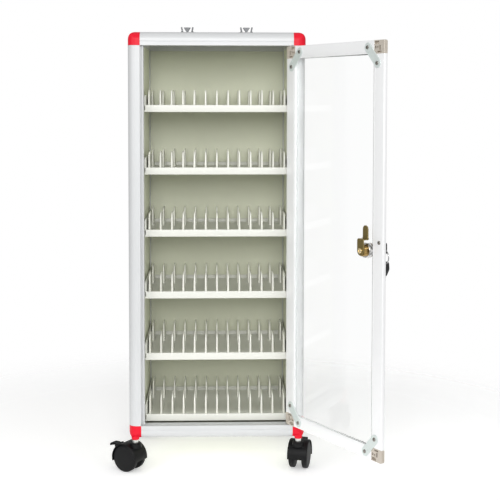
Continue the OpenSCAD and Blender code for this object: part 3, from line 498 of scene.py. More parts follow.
def spreadPiece(piece, part, spots, stands, turn, seed):
    # part is a bmesh round local Z, spots are points and stands the directions of its Z there
    source = temporary(part, "spreadPart")
    mesh = bpy.data.meshes.new("spreadSpots")
    mesh.from_pydata([tuple(p) for p in spots], [], [])
    attribute = mesh.attributes.new("stand", "FLOAT_VECTOR", "POINT")
    for i, stand in enumerate(stands):
        attribute.data[i].vector = stand.to_euler()
    holder = newObject("spreadHolder", mesh)
    modifier = holder.modifiers.new("spread", "NODES")
    modifier.node_group = spreadParts
    values = {"Part": source, "Turn": turn, "Seed": seed, "Finish": materials[piece["slot"]]}
    for item in spreadParts.interface.items_tree:
        if item.in_out == "INPUT" and item.name in values:
            modifier[item.identifier] = values[item.name]
    result = evaluatedMesh(holder)
    holder.modifiers.clear()
    removeObjects(holder, source)
    result.transform(toMetres)
    makePiece(piece, mesh=result)


# frame bars

def barOutline(height, lined):
    # bar section with its rounded outer corner at the origin, and a fine line along its front face
    c = cabinet
    loop = [(c["post"], 0), (c["post"], height), (0, height)]
    if lined:
        line, half, deep = c["line"], c["lineWidth"] / 2, c["lineDepth"]
        loop += [(0, line + half), (deep, line + half / 2), (deep, line - half / 2), (0, line - half)]
    return loop + arcPoints(c["edge"], c["edge"], c["edge"], 180, 270, 14)


def coreHole(height):
    x, y, half = cabinet["post"] / 2, height / 2, cabinet["core"] / 2
    return rectangle(x - half, y - half, x + half, y + half)[::-1]


def addLipStrip(bm, low, high, place, back):
    c = cabinet
    post, step, depth = c["post"], c["post"] + c["stripStep"], c["lipDepth"]
    start = c["stripStart"] + back
    end = start + c["stripThickness"]
    outline = [(post, start + 1), (step, start + 1), (step, start), (c["lipInner"], start),
               (c["lipInner"], depth), (c["lipOuter"], depth), (c["lipOuter"], end), (post, end)]
    outline = roundedLoop(outline, [0, 0.25, 0.25, 0.5, 0.7, 0.7, 0.25, 0], 3)
    addExtrusion(bm, outline, low, high, place, 0.2)


def strikeCutter():
    c = cabinet
    low, half = c["stripStart"] + c["stripThickness"], c["strikeHeight"] / 2
    bm = bmesh.new()
    addBlock(bm, (c["post"], low, lock["z"] - half),
             (c["lipInner"] + 1, low + c["strikeDepth"], lock["z"] + half),
             atVertex(-1, -1, -1) @ moved(0, 0, -c["foot"]), 0.3)
    return bm


def buildBar(name, place, height, low, high, lined=True, strip=None, cutter=None):
    # strip is how far the lip strip stands back, None for a bar without one
    bm = bmesh.new()
    addExtrusion(bm, barOutline(height, lined), low, high, place, 0.3, [coreHole(height)])
    if strip is not None:
        addLipStrip(bm, low, high, place, strip)
    if cutter:
        bm = carved(bm, cutter)
    makePiece(nodePiece(name, "_extrusion", "frame_silver"), bm)


def alongX(place=Matrix()):
    # local Z of the section runs along X, its X along Y and its Y along Z
    return place @ Matrix(((0, 0, 1, 0), (1, 0, 0, 0), (0, 1, 0, 0), (0, 0, 0, 1)))


def alongY(place=Matrix()):
    # local Z of the section runs along Y, its X stays and its Y goes along Z
    return place @ Matrix(((1, 0, 0, 0), (0, 0, 1, 0), (0, 1, 0, 0), (0, 0, 0, 1)))


sides, depths, levels = {"left": -1, "right": 1}, {"front": -1, "rear": 1}, {"top": 1, "bottom": -1}


def buildFrameBars():
    c = cabinet
    post, rail = c["post"], c["rail"]
    for depth, sy in depths.items():
        for side, sx in sides.items():
            back = c["hingeStripBack"] if (sx, sy) == (1, -1) else 0
            cutter = strikeCutter() if (sx, sy) == (-1, -1) else None
            buildBar(f"post_{depth}_{side}", atVertex(sx, sy, -1), post, rail,
                     c["top"] - c["foot"] - rail, False, back, cutter)
    for level, sz in levels.items():
        for depth, sy in depths.items():
            buildBar(f"rail_{level}_{depth}", alongX(atVertex(-1, sy, sz)), rail,
                     post, 2 * c["halfWidth"] - post)
    for level, sz in levels.items():
        for side, sx in sides.items():
            buildBar(f"rail_{level}_{side}", alongY(atVertex(sx, -1, sz)), rail,
                     post, 2 * c["halfDepth"] - post, strip=0)


# red corners

cornerPiece = {"name": "red_corners", "slot": "corner_red", "body": "cabinet",
               "nodes": ["corner_connectors"], "sharp": 16, "grid": 22, "centre": (14.5, 14.5, 15),
               "boss": 14, "bossHeight": 3, "tongue": 25, "gap": 0.1, "stem": 10}


def cornerSurface(direction, centre, size, radius):
    # where a ray from the centre leaves three crossed round-edged bars
    def inside(p):
        if any(v < 0 or v > s for v, s in zip(p, size)):
            return False
        for a, b in ((0, 1), (0, 2), (1, 2)):
            if p[a] < radius and p[b] < radius and math.hypot(p[a] - radius, p[b] - radius) > radius:
                return False
        return True
    low, high = 0.0, 60.0
    for _ in range(30):
        middle = (low + high) / 2
        if inside(centre + direction * middle):
            low = middle
        else:
            high = middle
    return centre + direction * low


def cornerShell():
    bm = bmesh.new()
    size = (cabinet["post"], cabinet["post"], cabinet["rail"])
    bmesh.ops.create_cube(bm, size=2)
    bmesh.ops.subdivide_edges(bm, edges=bm.edges, cuts=cornerPiece["grid"], use_grid_fill=True)
    centre = Vector(cornerPiece["centre"])
    for vert in bm.verts:
        # the cube's corner -1, -1, -1 looks at the rounded corner
        target = Vector([c + (c if v < 0 else s - c) * v for c, s, v in zip(centre, size, vert.co)])
        vert.co = cornerSurface((target - centre).normalized(), centre, size, cabinet["edge"])
    return bm


def buildCorners():
    p = cornerPiece
    half, mid, midZ = cabinet["core"] / 2 - p["gap"], cabinet["post"] / 2, cabinet["rail"] / 2
    start, end = cabinet["post"] - 1, cabinet["post"] + p["tongue"]
    radius, stem, foot = p["boss"] / 2, p["stem"] / 2, -p["bossHeight"]
    bm = bmesh.new()
    for sz in (-1, 1):
        corner = cornerShell()
        for place in (alongX(), alongY()):
            addBlock(corner, (mid - half, midZ - half, start), (mid + half, midZ + half, end), place, 0.5)
        addBlock(corner, (mid - half, mid - half, start + 2), (mid + half, mid + half, end + 2), edge=0.5)
        if sz < 0:
            profile = [(stem, 0.5), (stem, foot), (radius - 0.6, foot), (radius, foot + 0.6),
                       (radius + 0.5, 4), (stem, 4)]
            addLathe(corner, profile, moved(mid, mid, 0), 40, True)
        addCopies(bm, corner, [atVertex(sx, sy, sz) for sx in (-1, 1) for sy in (-1, 1)])
    makePiece(p, bm)


# trays, dividers and rivets

def buildTrays():
    t = tray
    sheet, front, rear, low, top = (t[k] for k in ("sheet", "front", "rear", "floorRise", "lip"))
    near, far = front + sheet, rear - sheet
    section = [(front, 0), (near, 0), (near, low), (far, low), (far, 0), (rear, 0), (rear, top), (far, top),
               (far, low + sheet), (near, low + sheet), (near, top), (front, top)]
    floor = roundedLoop(section, [0.8, 0.8, 1.2, 1.2] * 2 + [2.2, 2.2, 1.2, 1.2], 4)
    wall = roundedLoop(rectangle(front, low, rear, low + t["endHeight"]),
                       [0.5, 0.5, t["endRadius"], t["endRadius"]], 6)
    for i in range(t["count"]):
        place = alongX(moved(0, 0, t["foot"] + (t["count"] - 1 - i) * t["pitch"]))
        bm = bmesh.new()
        addExtrusion(bm, floor, -t["halfWidth"], t["halfWidth"], place, 0.5)
        for side in (-t["halfWidth"], t["halfWidth"] - sheet):
            addExtrusion(bm, wall, side, side + sheet, place, 0.6)
        makePiece(nodePiece(f"tray_{i + 1}", "_shelf", "tray_cream"), bm)


def dividerSolid():
    d = dividers
    bm = bmesh.new()
    outline = roundedLoop(rectangle(0, 0, d["length"], d["height"]), [0, 0, d["radius"], d["radius"]], 8)
    half = d["thickness"] / 2
    addExtrusion(bm, outline, -half, half, alongX(), 0.7)
    taper = 1 - d["topThickness"] / d["thickness"]
    for vert in bm.verts:
        vert.co.x *= 1 - taper * max(0.0, vert.co.z / d["height"])
    return bm


def buildDividers():
    d, t = dividers, tray
    for name, row, seed in (("front_dividers", d["frontRow"], 11), ("rear_dividers", d["rearRow"], 12)):
        piece = nodePiece(name, "_row", "divider_cream")
        spots = [((2 * k / (d["count"] - 1) - 1) * d["span"] / 2, row,
                  t["foot"] + i * t["pitch"] + t["floorRise"] + t["sheet"])
                 for i in range(t["count"]) for k in range(d["count"])]
        spreadPiece(piece, dividerSolid(), spots, [Matrix.Identity(3)] * len(spots), 0.0, seed)


rivetPiece = {"name": "tray_rivet_heads", "slot": "rivet_alloy", "body": "cabinet",
              "nodes": ["tray_rivets"], "head": 4, "shank": 2, "headHeight": 1.6, "rows": (-37, 50),
              "rise": 20.5, "wall": 4, "gap": 2, "grip": 8.5, "turn": 6.28}


def buildRivets():
    p, t = rivetPiece, tray
    head, shank, high = p["head"], p["shank"], p["headHeight"]
    wall, flange = p["wall"], p["wall"] + p["gap"]
    dome = [(head, 0), (head * 0.86, high * 0.6), (head * 0.5, high * 0.93), (0, high)]
    profile = [(r, -z) for r, z in reversed(dome)]
    profile += [(shank, 0), (shank, wall), (head, wall), (head, flange), (shank, flange),
                (shank, p["grip"])]
    profile += [(r, p["grip"] + z) for r, z in dome]
    bm = bmesh.new()
    addLathe(bm, profile, steps=28)
    spots, stands = [], []
    for i in range(t["count"]):
        for y in p["rows"]:
            for side in (-1, 1):
                spots.append((side * (cabinet["halfWidth"] - cabinet["post"]), y,
                              t["foot"] + i * t["pitch"] + p["rise"]))
                stands.append(turned(-90 * side, "Y").to_3x3())
    spreadPiece(p, bm, spots, stands, p["turn"], 21)


# door

def doorOutline(width):
    # bar section from its outer edge, with the pane's groove and a line beside it
    half, low, high, floor = door["pane"] / 2, -door["out"], door["inside"], width - door["groove"]
    line = [(width - 2.6, high), (width - 2.8, high - 0.5), (width - 3.4, high - 0.5), (width - 3.6, high)]
    outline = [(0, low), (width, low), (width, -half), (floor, -half), (floor, half), (width, half),
               (width, high), *line, (0, high)]
    return roundedLoop(outline, [1.5, 0.6, 0.2, 0, 0, 0.2, 0.5, 0, 0, 0, 0, 1.5], 4)


def doorCore():
    half = door["coreThickness"] / 2
    return rectangle(door["coreX"], -half, door["coreX"] + door["coreWidth"], half)[::-1]


def buildDoorBars():
    d = door
    # the section's X goes along Z and its Y along Y
    acrossDoor = Matrix(((0, 0, 1, 0), (0, 1, 0, 0), (1, 0, 0, 0), (0, 0, 0, 1)))
    upright = (d["stile"], d["low"] + d["rail"], d["high"] - d["rail"])
    across = (d["rail"], d["stile"], d["free"] + d["tail"] - d["stile"])
    for name, place, (width, low, high) in (
            ("door_stile_hinge", atDoorCorner(1, -1) @ moved(0, 0, -d["low"]), upright),
            ("door_stile_free", atDoorCorner(-1, -1) @ moved(0, 0, -d["low"]), upright),
            ("door_rail_top", atDoorCorner(-1, 1) @ acrossDoor, across),
            ("door_rail_bottom", atDoorCorner(-1, -1) @ acrossDoor, across)):
        bm = bmesh.new()
        addExtrusion(bm, doorOutline(width), low, high, place, 0.25, [doorCore()])
        makePiece(nodePiece(name, "_bar", "door_silver", "door"), bm)


# the second finish is dark painted shade on the faces inside the holes and slots
doorBlockPiece = {"name": "door_corner_castings", "slot": "cast_zinc", "second": "cast_painted_recess_shade",
                  "body": "door", "nodes": ["door_corner_blocks"], "radius": 3, "gap": 0.1,
                  "ribs": 7, "ribStart": 3.4, "ribPitch": 2.4, "ribWidth": 1.1,
                  "holes": [(22.3, 11.5, 2.2), (16.8, 11.3, 1.7)],
                  "slots": [(13.6, 1.8, 24.8, 6.8), (9.6, 8.4, 13.1, 16.2), (7.8, 17.6, 18.4, 20.1)]}


def inRecess(point):
    # whether a face's middle lies in one of the casting's holes or slots
    p, edge = doorBlockPiece, 0.1
    if point.y > door["inside"] - edge:
        return False
    for x, z, radius in p["holes"]:
        if math.hypot(point.x - x, point.z - z) < radius + edge:
            return True
    return any(x0 - edge < point.x < x1 + edge and z0 - edge < point.z < z1 + edge
               for x0, z0, x1, z1 in p["slots"])


def doorBlock():
    d, p = door, doorBlockPiece
    out, inside, top = -d["out"], d["inside"], d["inside"] + 1
    # section in X and Z, length along Y
    flat = alongY()
    bm = bmesh.new()
    outline = roundedLoop(rectangle(0, 0, d["stile"], d["rail"]), [p["radius"], 0.4, 0.4, 0.4], 6)
    addExtrusion(bm, outline, out, inside, flat, 0.4)
    cut = bmesh.new()
    for x, z, radius in p["holes"]:
        addLathe(cut, [(radius, -1), (radius, top)], moved(x, 0, z) @ turned(-90, "X"), 24)
    for slot in p["slots"]:
        addExtrusion(cut, roundedLoop(rectangle(*slot), 0.9, 4), -1, top, flat, 0)
    groove = rectangle(d["stile"] - d["groove"], d["rail"] - d["groove"], d["stile"] + 1, d["rail"] + 1)
    addExtrusion(cut, groove, -d["pane"] / 2, d["pane"] / 2, flat, 0)
    for k in range(p["ribs"]):
        z = p["ribStart"] + k * p["ribPitch"]
        addExtrusion(cut, rectangle(-0.5, z, 0.45, z + p["ribWidth"]), out + 1, inside - 1, flat, 0)
    bm = carved(bm, cut)
    # faces inside the holes and slots take the dark second finish, painted shade for the deep recesses
    for face in bm.faces:
        if inRecess(face.calc_center_median()):
            face.material_index = 1
    half = d["coreThickness"] / 2 - p["gap"]
    near, far = d["coreX"] + p["gap"], d["coreX"] + d["coreWidth"] - p["gap"]
    addBlock(bm, (near, -half, d["rail"] - 0.5), (far, half, d["rail"] + d["tongue"]), edge=0.3)
    addBlock(bm, (d["stile"] - 0.5, -half, near), (d["stile"] + d["tongue"], half, far), edge=0.3)
    return bm


def buildDoorBlocks():
    bm = bmesh.new()
    addCopies(bm, doorBlock(), doorCorners)
    makePiece(doorBlockPiece, bm)


panePiece = {"name": "clear_door_sheet", "slot": "clear_pane", "second": "bead_grey", "body": "door",
             "nodes": ["door_pane"], "hole": 9.5,
             "beadWidth": 1.2, "beadInside": 3.6, "beadOutside": -2.6}


def buildPane():
    d, half = door, door["pane"] / 2
    inset = d["stile"] - d["groove"] + d["panePlay"]
    rise = d["rail"] - d["groove"] + d["panePlay"]
    sheet = rectangle(-d["free"] + inset, d["low"] + rise, d["tail"] - inset, d["high"] - rise)
    hole = holeLoop(lock["x"], lock["z"], panePiece["hole"], 48)
    bm = bmesh.new()
    addExtrusion(bm, roundedLoop(sheet, 2, 4), -half, half, alongY(atDoor), 0.25, [hole])
    clearFaces = len(bm.faces)
    # grey bead that holds the sheet on both sides, along the inner edges of the bars
    x0, x1 = d["stile"] - d["free"], d["tail"] - d["stile"]
    z0, z1, w = d["low"] + d["rail"], d["high"] - d["rail"], panePiece["beadWidth"]
    for y0, y1 in ((half, panePiece["beadInside"]), (panePiece["beadOutside"], -half)):
        for low, high in (((x0, z0), (x0 + w, z1)), ((x1 - w, z0), (x1, z1)),
                          ((x0 + w, z0), (x1 - w, z0 + w)), ((x0 + w, z1 - w), (x1 - w, z1))):
            addBlock(bm, (low[0], y0, low[1]), (high[0], y1, high[1]), atDoor, 0.3)
    paintFrom(bm, clearFaces)
    makePiece(panePiece, bm)


bracePiece = {"name": "door_brace_plates", "slot": "brace_steel", "body": "door",
              "nodes": ["door_braces"], "width": 15.5, "sheet": 1.6,
              "rail": (41, 11), "stile": (16.5, 37), "hole": 1.5, "field": 0.45, "border": 2.4}


def buildBraces():
    p = bracePiece
    a, run = Vector(p["rail"]), Vector(p["stile"]) - Vector(p["rail"])
    half, level = p["width"] / 2, door["inside"]
    top, inner = level + p["sheet"], half - p["border"]
    outline = arcPoints(0, 0, half, 90, 270, 14) + arcPoints(run.length, 0, half, -90, 90, 14)
    solid = bmesh.new()
    addExtrusion(solid, outline, level, top, edge=0.45)
    cut = bmesh.new()
    for x in (0, run.length):
        addLathe(cut, [(p["hole"], level - 1), (p["hole"], level + 3)], moved(x, 0, 0), 20)
    # pressed field between the screws
    field = roundedLoop(rectangle(8, -inner, run.length - 8, inner), 2, 5)
    addExtrusion(cut, field, top - p["field"], top + 1, edge=0)
    solid = carved(solid, cut)
    angle = math.degrees(math.atan2(run.y, run.x))
    solid.transform(alongY() @ moved(a.x, a.y, 0) @ turned(angle, "Z"))
    bm = bmesh.new()
    addCopies(bm, solid, doorCorners)
    makePiece(p, bm)


screwPiece = {"name": "door_pan_screws", "slot": "bright_screw", "body": "door", "nodes": ["door_screws"],
              "shank": 1.5, "head": 3.25, "headHeight": 1.8, "depth": 2, "cross": 2.1,
              "ownRise": 15, "ownEdge": 9.75, "turn": 1.57}


def crossScrew(piece):
    # pan head screw with its head's underside at the origin and a cross recess
    shank, depth, head, high, cross = (piece[k] for k in ("shank", "depth", "head", "headHeight", "cross"))
    bm = bmesh.new()
    addLathe(bm, [(0, -depth), (shank, -depth), (shank, 0), (head, 0), (head, high * 0.35),
                  (head * 0.9, high * 0.7), (head * 0.6, high * 0.94), (0, high)], steps=32)
    cut = bmesh.new()
    for angle in (0, 90):
        addBlock(cut, (-cross, -0.45, high - 1.1), (cross, 0.45, high + 1), turned(angle, "Z"), 0.15)
    return carved(bm, cut, True)


def buildDoorScrews():
    p = screwPiece
    # the screw's Z points out of the door's inner face
    stand = (turned(door["angle"], "Z") @ turned(-90, "X")).to_3x3()
    spots = [corner @ Vector((x, door["inside"] + bracePiece["sheet"], z)) for corner in doorCorners
             for x, z in (bracePiece["rail"], bracePiece["stile"])]
    spots.append(atDoor @ Vector((p["ownEdge"] - door["free"], door["inside"], lock["z"] + p["ownRise"])))
    spreadPiece(p, crossScrew(p), spots, [stand] * len(spots), p["turn"], 33)


hingePinPiece = {"name": "door_pivot_pins", "slot": "bright_screw", "body": "door",
                 "nodes": ["door_hinge_pins"], "radius": 2, "inDoor": 16, "length": 22.5}


def buildHingePins():
    p = hingePinPiece
    bm = bmesh.new()
    for start in (door["high"] - p["inDoor"], door["low"] + p["inDoor"] - p["length"]):
        addLathe(bm, pinProfile(p["radius"], 0, p["length"]), atDoor @ moved(0, 0, start), 28)
    makePiece(p, bm)


# lock and keys

barrelPiece = {"name": "lock_threaded_barrel", "slot": "lock_brass", "body": "door",
               "nodes": ["lock_barrel"], "radius": 9.5, "bore": 6.05, "flange": 11.5, "flangeEnd": -2,
               "threadStart": 2, "thread": 0.45, "pitch": 1.25, "flat": 8.3}


def buildBarrel():
    p, start, end = barrelPiece, lock["flange"], lock["barrelEnd"]
    flange, outer, inner, pitch = p["flange"], p["radius"], p["radius"] - p["thread"], p["pitch"]
    z = p["threadStart"]
    profile = [(p["bore"], start), (flange - 0.8, start), (flange, start + 0.8), (flange, p["flangeEnd"]),
               (outer, p["flangeEnd"]), (outer, z)]
    while z + pitch < end:
        profile += [(inner, z + pitch * 0.35), (outer, z + pitch * 0.65), (outer, z + pitch)]
        z += pitch
    profile += [(inner, end), (p["bore"], end)]
    bm = bmesh.new()
    addLathe(bm, profile, steps=64, closed=True)
    for vert in bm.verts:
        if vert.co.z > p["threadStart"] + 0.01:
            vert.co.x = max(-p["flat"], min(p["flat"], vert.co.x))
    bm.transform(lockAxis)
    makePiece(p, bm)


nutPiece = {"name": "lock_hex_nut", "slot": "nut_chrome", "body": "door", "nodes": ["lock_nut"],
            "flats": 24, "low": 2, "high": 9, "bore": 9.5, "sharp": 20}


def buildNut():
    p = nutPiece
    steps, flat, low, high = 96, p["flats"] / 2, p["low"], p["high"]
    angles = [2 * math.pi * i / steps for i in range(steps)]
    rings = []
    for level, side, chamfer in ((low, 1, True), (low, 1, False), (high, -1, False), (high, -1, True)):
        ring = []
        for angle in angles:
            corner = flat / math.cos((angle + math.pi / 6) % (math.pi / 3) - math.pi / 6)
            drop = (corner - flat * 0.97) * 0.55
            ring.append((angle, flat * 0.97, level) if chamfer else (angle, corner, level + side * drop))
        rings.append(ring)
    rings += [[(angle, p["bore"], z) for angle in angles] for z in (high, low)]
    bm = bmesh.new()
    rows = [[bm.verts.new((r * math.cos(a), r * math.sin(a), z)) for a, r, z in ring] for ring in rings]
    bridge(bm, rows, closed=True)
    bm.transform(lockAxis @ turned(30, "Z"))
    makePiece(p, bm)


plugPiece = {"name": "lock_turning_plug", "slot": "lock_brass", "body": "lock_core", "nodes": ["lock_plug"],
             "radius": 6, "square": 3.5, "keyway": 17, "slotX": 1.1, "slotZ": 4.1, "camSheet": 2}


def buildPlug():
    p, start, end = plugPiece, lock["flange"], lock["cam"]
    r, x, z, square = p["radius"], p["slotX"], p["slotZ"], p["square"]
    bm = bmesh.new()
    addLathe(bm, [(0, start), (r - 0.5, start), (r, start + 0.5), (r, end), (0, end)])
    cut = bmesh.new()
    addBlock(cut, (-x, -z, start - 1), (x, z, start + p["keyway"]), edge=0.1)
    bm = carved(bm, cut)
    addBlock(bm, (-square, -square, end - 0.5), (square, square, end + p["camSheet"]), edge=0.2)
    bm.transform(lockAxis)
    makePiece(p, bm)


camPiece = {"name": "lock_cranked_cam", "slot": "cam_steel", "body": "lock_core", "nodes": ["lock_cam"],
            "width": 8, "tipWidth": 6.5, "sheet": 2, "step": 17.5, "reach": 41, "bend": 1.6, "sharp": 40}


def buildCam():
    # the sheet's middle line in Y and Z of the lock, with its half width along the way
    p, half = camPiece, camPiece["sheet"] / 2
    wide, narrow, bend, level = p["width"], p["tipWidth"], p["bend"], p["step"] + half
    near, tip, start = lock["cam"] + 1, lock["camTip"] + 1, p["reach"] - narrow
    line = [(near, -wide + 0.02), (near, -wide * 0.98), (near, -wide * 0.92),
            *[(near, -wide * k / 8) for k in range(6, -1, -1)], (near, level - bend - 4),
            *arcPoints(near - bend, level - bend, bend, 0, 90, 5),
            *arcPoints(tip + bend, level + bend, bend, 270, 180, 5), (tip, level + bend + 2),
            *[(tip, start + narrow * k) for k in (0, 0.2, 0.4, 0.6, 0.75, 0.87, 0.95, 0.99)]]

    def section(i):
        z, e = line[i][1], 0.35
        if z < 0:
            w = math.sqrt(max(0.1, wide ** 2 - z * z))
        elif z > start:
            w = math.sqrt(max(0.1, narrow ** 2 - (z - start) ** 2))
        else:
            w = wide + (narrow - wide) * min(1, max(0, (z - level) / 4))
        return [(-w, -half + e), (-w + e, -half), (w - e, -half), (w, -half + e),
                (w, half - e), (w - e, half), (-w + e, half), (-w, half - e)]

    bm = bmesh.new()
    addSweep(bm, [(0, y, z) for y, z in line], section)
    bm.transform(atLock)
    makePiece(p, bm)


camScrewPiece = {"name": "lock_cam_bolt", "slot": "cam_steel", "finish": "bolt_gold", "body": "lock_core",
                 "nodes": ["lock_cam_screw"], "shank": 2, "depth": 5, "head": 4.5, "headHeight": 2.5,
                 "cross": 2.8, "turn": 20}


def buildCamScrew():
    p = camScrewPiece
    place = lockAxis @ moved(0, 0, lock["cam"] + camPiece["sheet"]) @ turned(p["turn"], "Z")
    bm = crossScrew(p)
    bmesh.ops.transform(bm, matrix=place, verts=bm.verts)
    makePiece(p, bm)


keyShape = {"headWidth": 22, "headLength": 24, "head": 5, "holeEdge": 5.5, "hole": 3, "blade": 25,
            "bladeWidth": 8, "bladeSheet": 2, "holeY": -31.0, "ringRadius": 12.1, "wire": 0.9,
            "ringZ": -13.789, "spareZ": -27.578,
            "teeth": [0.2, 1.3, 0.5, 1.8, 0.9, 1.5, 0.3],
            "toothStart": 7, "toothPitch": 2.1, "toothFlat": 0.9}
keyPiece = {"name": "key_in_lock", "slot": "key_black", "second": "key_nickel", "body": "lock_core",
            "nodes": ["key"]}
spareKeyPiece = {"name": "key_spare", "slot": "key_black", "second": "key_nickel", "body": "spare_key",
                 "nodes": ["spare_key"]}
keyRingPiece = {"name": "key_wire_ring", "slot": "ring_steel", "body": "key_ring", "nodes": ["key_ring"]}


def keySolid():
    # key with its hole at the origin and its blade along Y, flat in Y and Z
    k = keyShape
    half, near, far = k["headWidth"] / 2, -k["holeEdge"], k["headLength"] - k["holeEdge"]
    wide = near + k["headLength"] * 0.55
    outline = [(near, -half * 0.9), (wide, -half), (far, -half * 0.45),
               (far, half * 0.45), (wide, half), (near, half * 0.9)]
    head = bmesh.new()
    outline = roundedLoop(outline, [4.5, 4.5, 2.5, 2.5, 4.5, 4.5], 6)
    addExtrusion(head, outline, -k["head"] / 2, k["head"] / 2, alongX(), 0.9, [holeLoop(0, 0, k["hole"])])
    start, end, width = far - 1.5, far + k["blade"], k["bladeWidth"] / 2
    top = [(start, width)]
    for i, depth in enumerate(k["teeth"]):
        y = start + k["toothStart"] + i * k["toothPitch"]
        top += [(y, width - depth), (y + k["toothFlat"], width - depth)]
    top += [(end - 1.8, width - 0.4), (end, width - 2.6)]
    steel = bmesh.new()
    addExtrusion(steel, [(start, -width), (end, -width + 1.2)] + top[::-1],
                 -k["bladeSheet"] / 2, k["bladeSheet"] / 2, alongX(), 0.15)
    return head, steel


def buildKeys():
    k = keyShape
    places = ((keyPiece, moved(0, k["holeY"], 0)),
              (spareKeyPiece, moved(0, k["holeY"], k["spareZ"]) @ turned(-90, "X")))
    for piece, place in places:
        head, steel = keySolid()
        bm = bmesh.new()
        addCopies(bm, head, [atLock @ place])
        headFaces = len(bm.faces)
        addCopies(bm, steel, [atLock @ place])
        paintFrom(bm, headFaces)
        makePiece(piece, bm)


def buildKeyRing():
    k = keyShape
    bm = bmesh.new()
    addTube(bm, [atLock @ Vector((k["ringRadius"] * math.cos(a), k["holeY"],
                                  k["ringZ"] + k["ringRadius"] * math.sin(a)))
                 for a in [2 * math.pi * i / 72 for i in range(72)]], k["wire"], 14, True)
    makePiece(keyRingPiece, bm)


# carry handle

bracketPiece = {"name": "handle_saddle_brackets", "slot": "handle_chrome", "body": "cabinet",
                "nodes": ["handle_brackets"], "width": 24, "depth": 14, "height": 20, "plate": 2,
                "plateOut": 5, "cheek": 5, "waist": 12, "bore": 3.06, "wedge": 1.4}


def buildBrackets():
    p = bracketPiece
    half, deep, high, waist, wedge = p["width"] / 2, p["depth"] / 2, p["height"], p["waist"], p["wedge"]
    bracket = bmesh.new()
    foot = deep + p["plateOut"]
    addBlock(bracket, (-half, -foot, 0), (half, foot, p["plate"]), edge=0.6)
    bore = holeLoop(0, handle["pivot"], p["bore"])
    cheek = [(-deep, 0.5), (deep, 0.5), (deep * 0.8, waist), (-deep * 0.8, waist)]
    cheek = roundedLoop(cheek, [0, 0, 2, 2], 5)
    for x in (-half, half - p["cheek"]):
        addExtrusion(bracket, cheek, x, x + p["cheek"], alongX(), 0.8, [bore])
    # two ears that lean outwards, with a wedge between them
    ear = [(half - 4.6, waist - 2), (half - 2.2, waist - 2), (half, high - 0.8), (half - 0.8, high),
           (half - 2.6, high)]
    for side in (-1, 1):
        outline = [(side * x, z) for x, z in ear][::side]
        addExtrusion(bracket, roundedLoop(outline, 0.4, 3), -deep + 1.5, deep - 1.5, alongY(), 0.4)
    outline = [(-wedge, 0.5), (wedge, 0.5), (wedge, waist - 1), (half - 5.2, high - 0.6),
               (5.2 - half, high - 0.6), (-wedge, waist - 1)]
    addExtrusion(bracket, roundedLoop(outline, 0.5, 3), -deep + 2.5, deep - 2.5, alongY(), 0.4)
    bm = bmesh.new()
    addCopies(bm, bracket, [moved(sx * handle["span"] / 2, 0, handle["base"]) for sx in (-1, 1)])
    makePiece(p, bm)


bailPiece = {"name": "handle_bent_rod", "slot": "handle_chrome", "body": "handle", "nodes": ["handle_bail"],
             "armX": 40.7, "end": 68, "footBend": 3}
gripPiece = {"name": "handle_ribbed_grip", "slot": "grip_rubber", "body": "handle",
             "nodes": ["handle_grip"], "radius": 4.5, "length": 62, "ribs": 13, "ribDepth": 0.5, "plain": 4}


def buildHandle():
    p, h = bailPiece, handle
    level, rod = h["base"] + h["pivot"], h["rod"] / 2
    arm, bend, reach, foot = p["armX"], h["bend"], h["reach"], p["footBend"]
    side = [(-p["end"], 0), (-p["end"] + 0.5, 0), *arcPoints(-arm - foot, foot, foot, -90, 0, 6),
            (-arm, reach - bend - 4), *arcPoints(-arm + bend, reach - bend, bend, 180, 90, 10)]
    path = [(x, y, level) for x, y in side]
    bm = bmesh.new()
    addTube(bm, path + [(-x, y, z) for x, y, z in reversed(path)], rod, 24)
    makePiece(p, bm)

    p = gripPiece
    half, r = p["length"] / 2, p["radius"]
    groove, pitch = r - p["ribDepth"], (p["length"] - 2 * p["plain"]) / p["ribs"]
    profile = [(rod, -half), (r - 0.8, -half), (r, -half + 0.8)]
    for k in range(p["ribs"]):
        z = -half + p["plain"] + k * pitch
        profile += [(r, z), (groove, z + pitch * 0.2), (groove, z + pitch * 0.4), (r, z + pitch * 0.6)]
    profile += [(r, half - 0.8), (r - 0.8, half), (rod, half)]
    bm = bmesh.new()
    addLathe(bm, profile, moved(0, reach, level) @ turned(90, "Y"), 32, True)
    makePiece(p, bm)


# castors

stemPiece = {"name": "castor_stem_pins", "slot": "stem_steel", "body": "cabinet", "nodes": ["castor_stems"],
             "radius": 5, "collar": 5.5, "collarLow": 53.5, "collarHigh": 59, "bevel": 0.4}


def buildStems():
    p = stemPiece
    r, collar, e = p["radius"], p["collar"], p["bevel"]
    low, high, start, end = castor["stemLow"], castor["stemTop"], p["collarLow"], p["collarHigh"]
    profile = [(0, low), (r - e, low), (r, low + e), (r, start), (collar - e, start), (collar, start + e),
               (collar, end - e), (collar - e, end), (r, end), (r, high - e), (r - e, high), (0, high)]
    bm = bmesh.new()
    for site in castorSites:
        addLathe(bm, profile, atCastor(site), 36)
    makePiece(p, bm)


hoodShape = {"start": -16, "end": 188, "rim": 0.9, "turret": 10.5, "flare": 1.2, "bore": 5.05,
             "axleBoss": 10, "axleBore": 3.05, "cheekY": 7, "cheek": 3, "cheekRadius": 4, "hub": 3.5,
             "pin": 1.5}


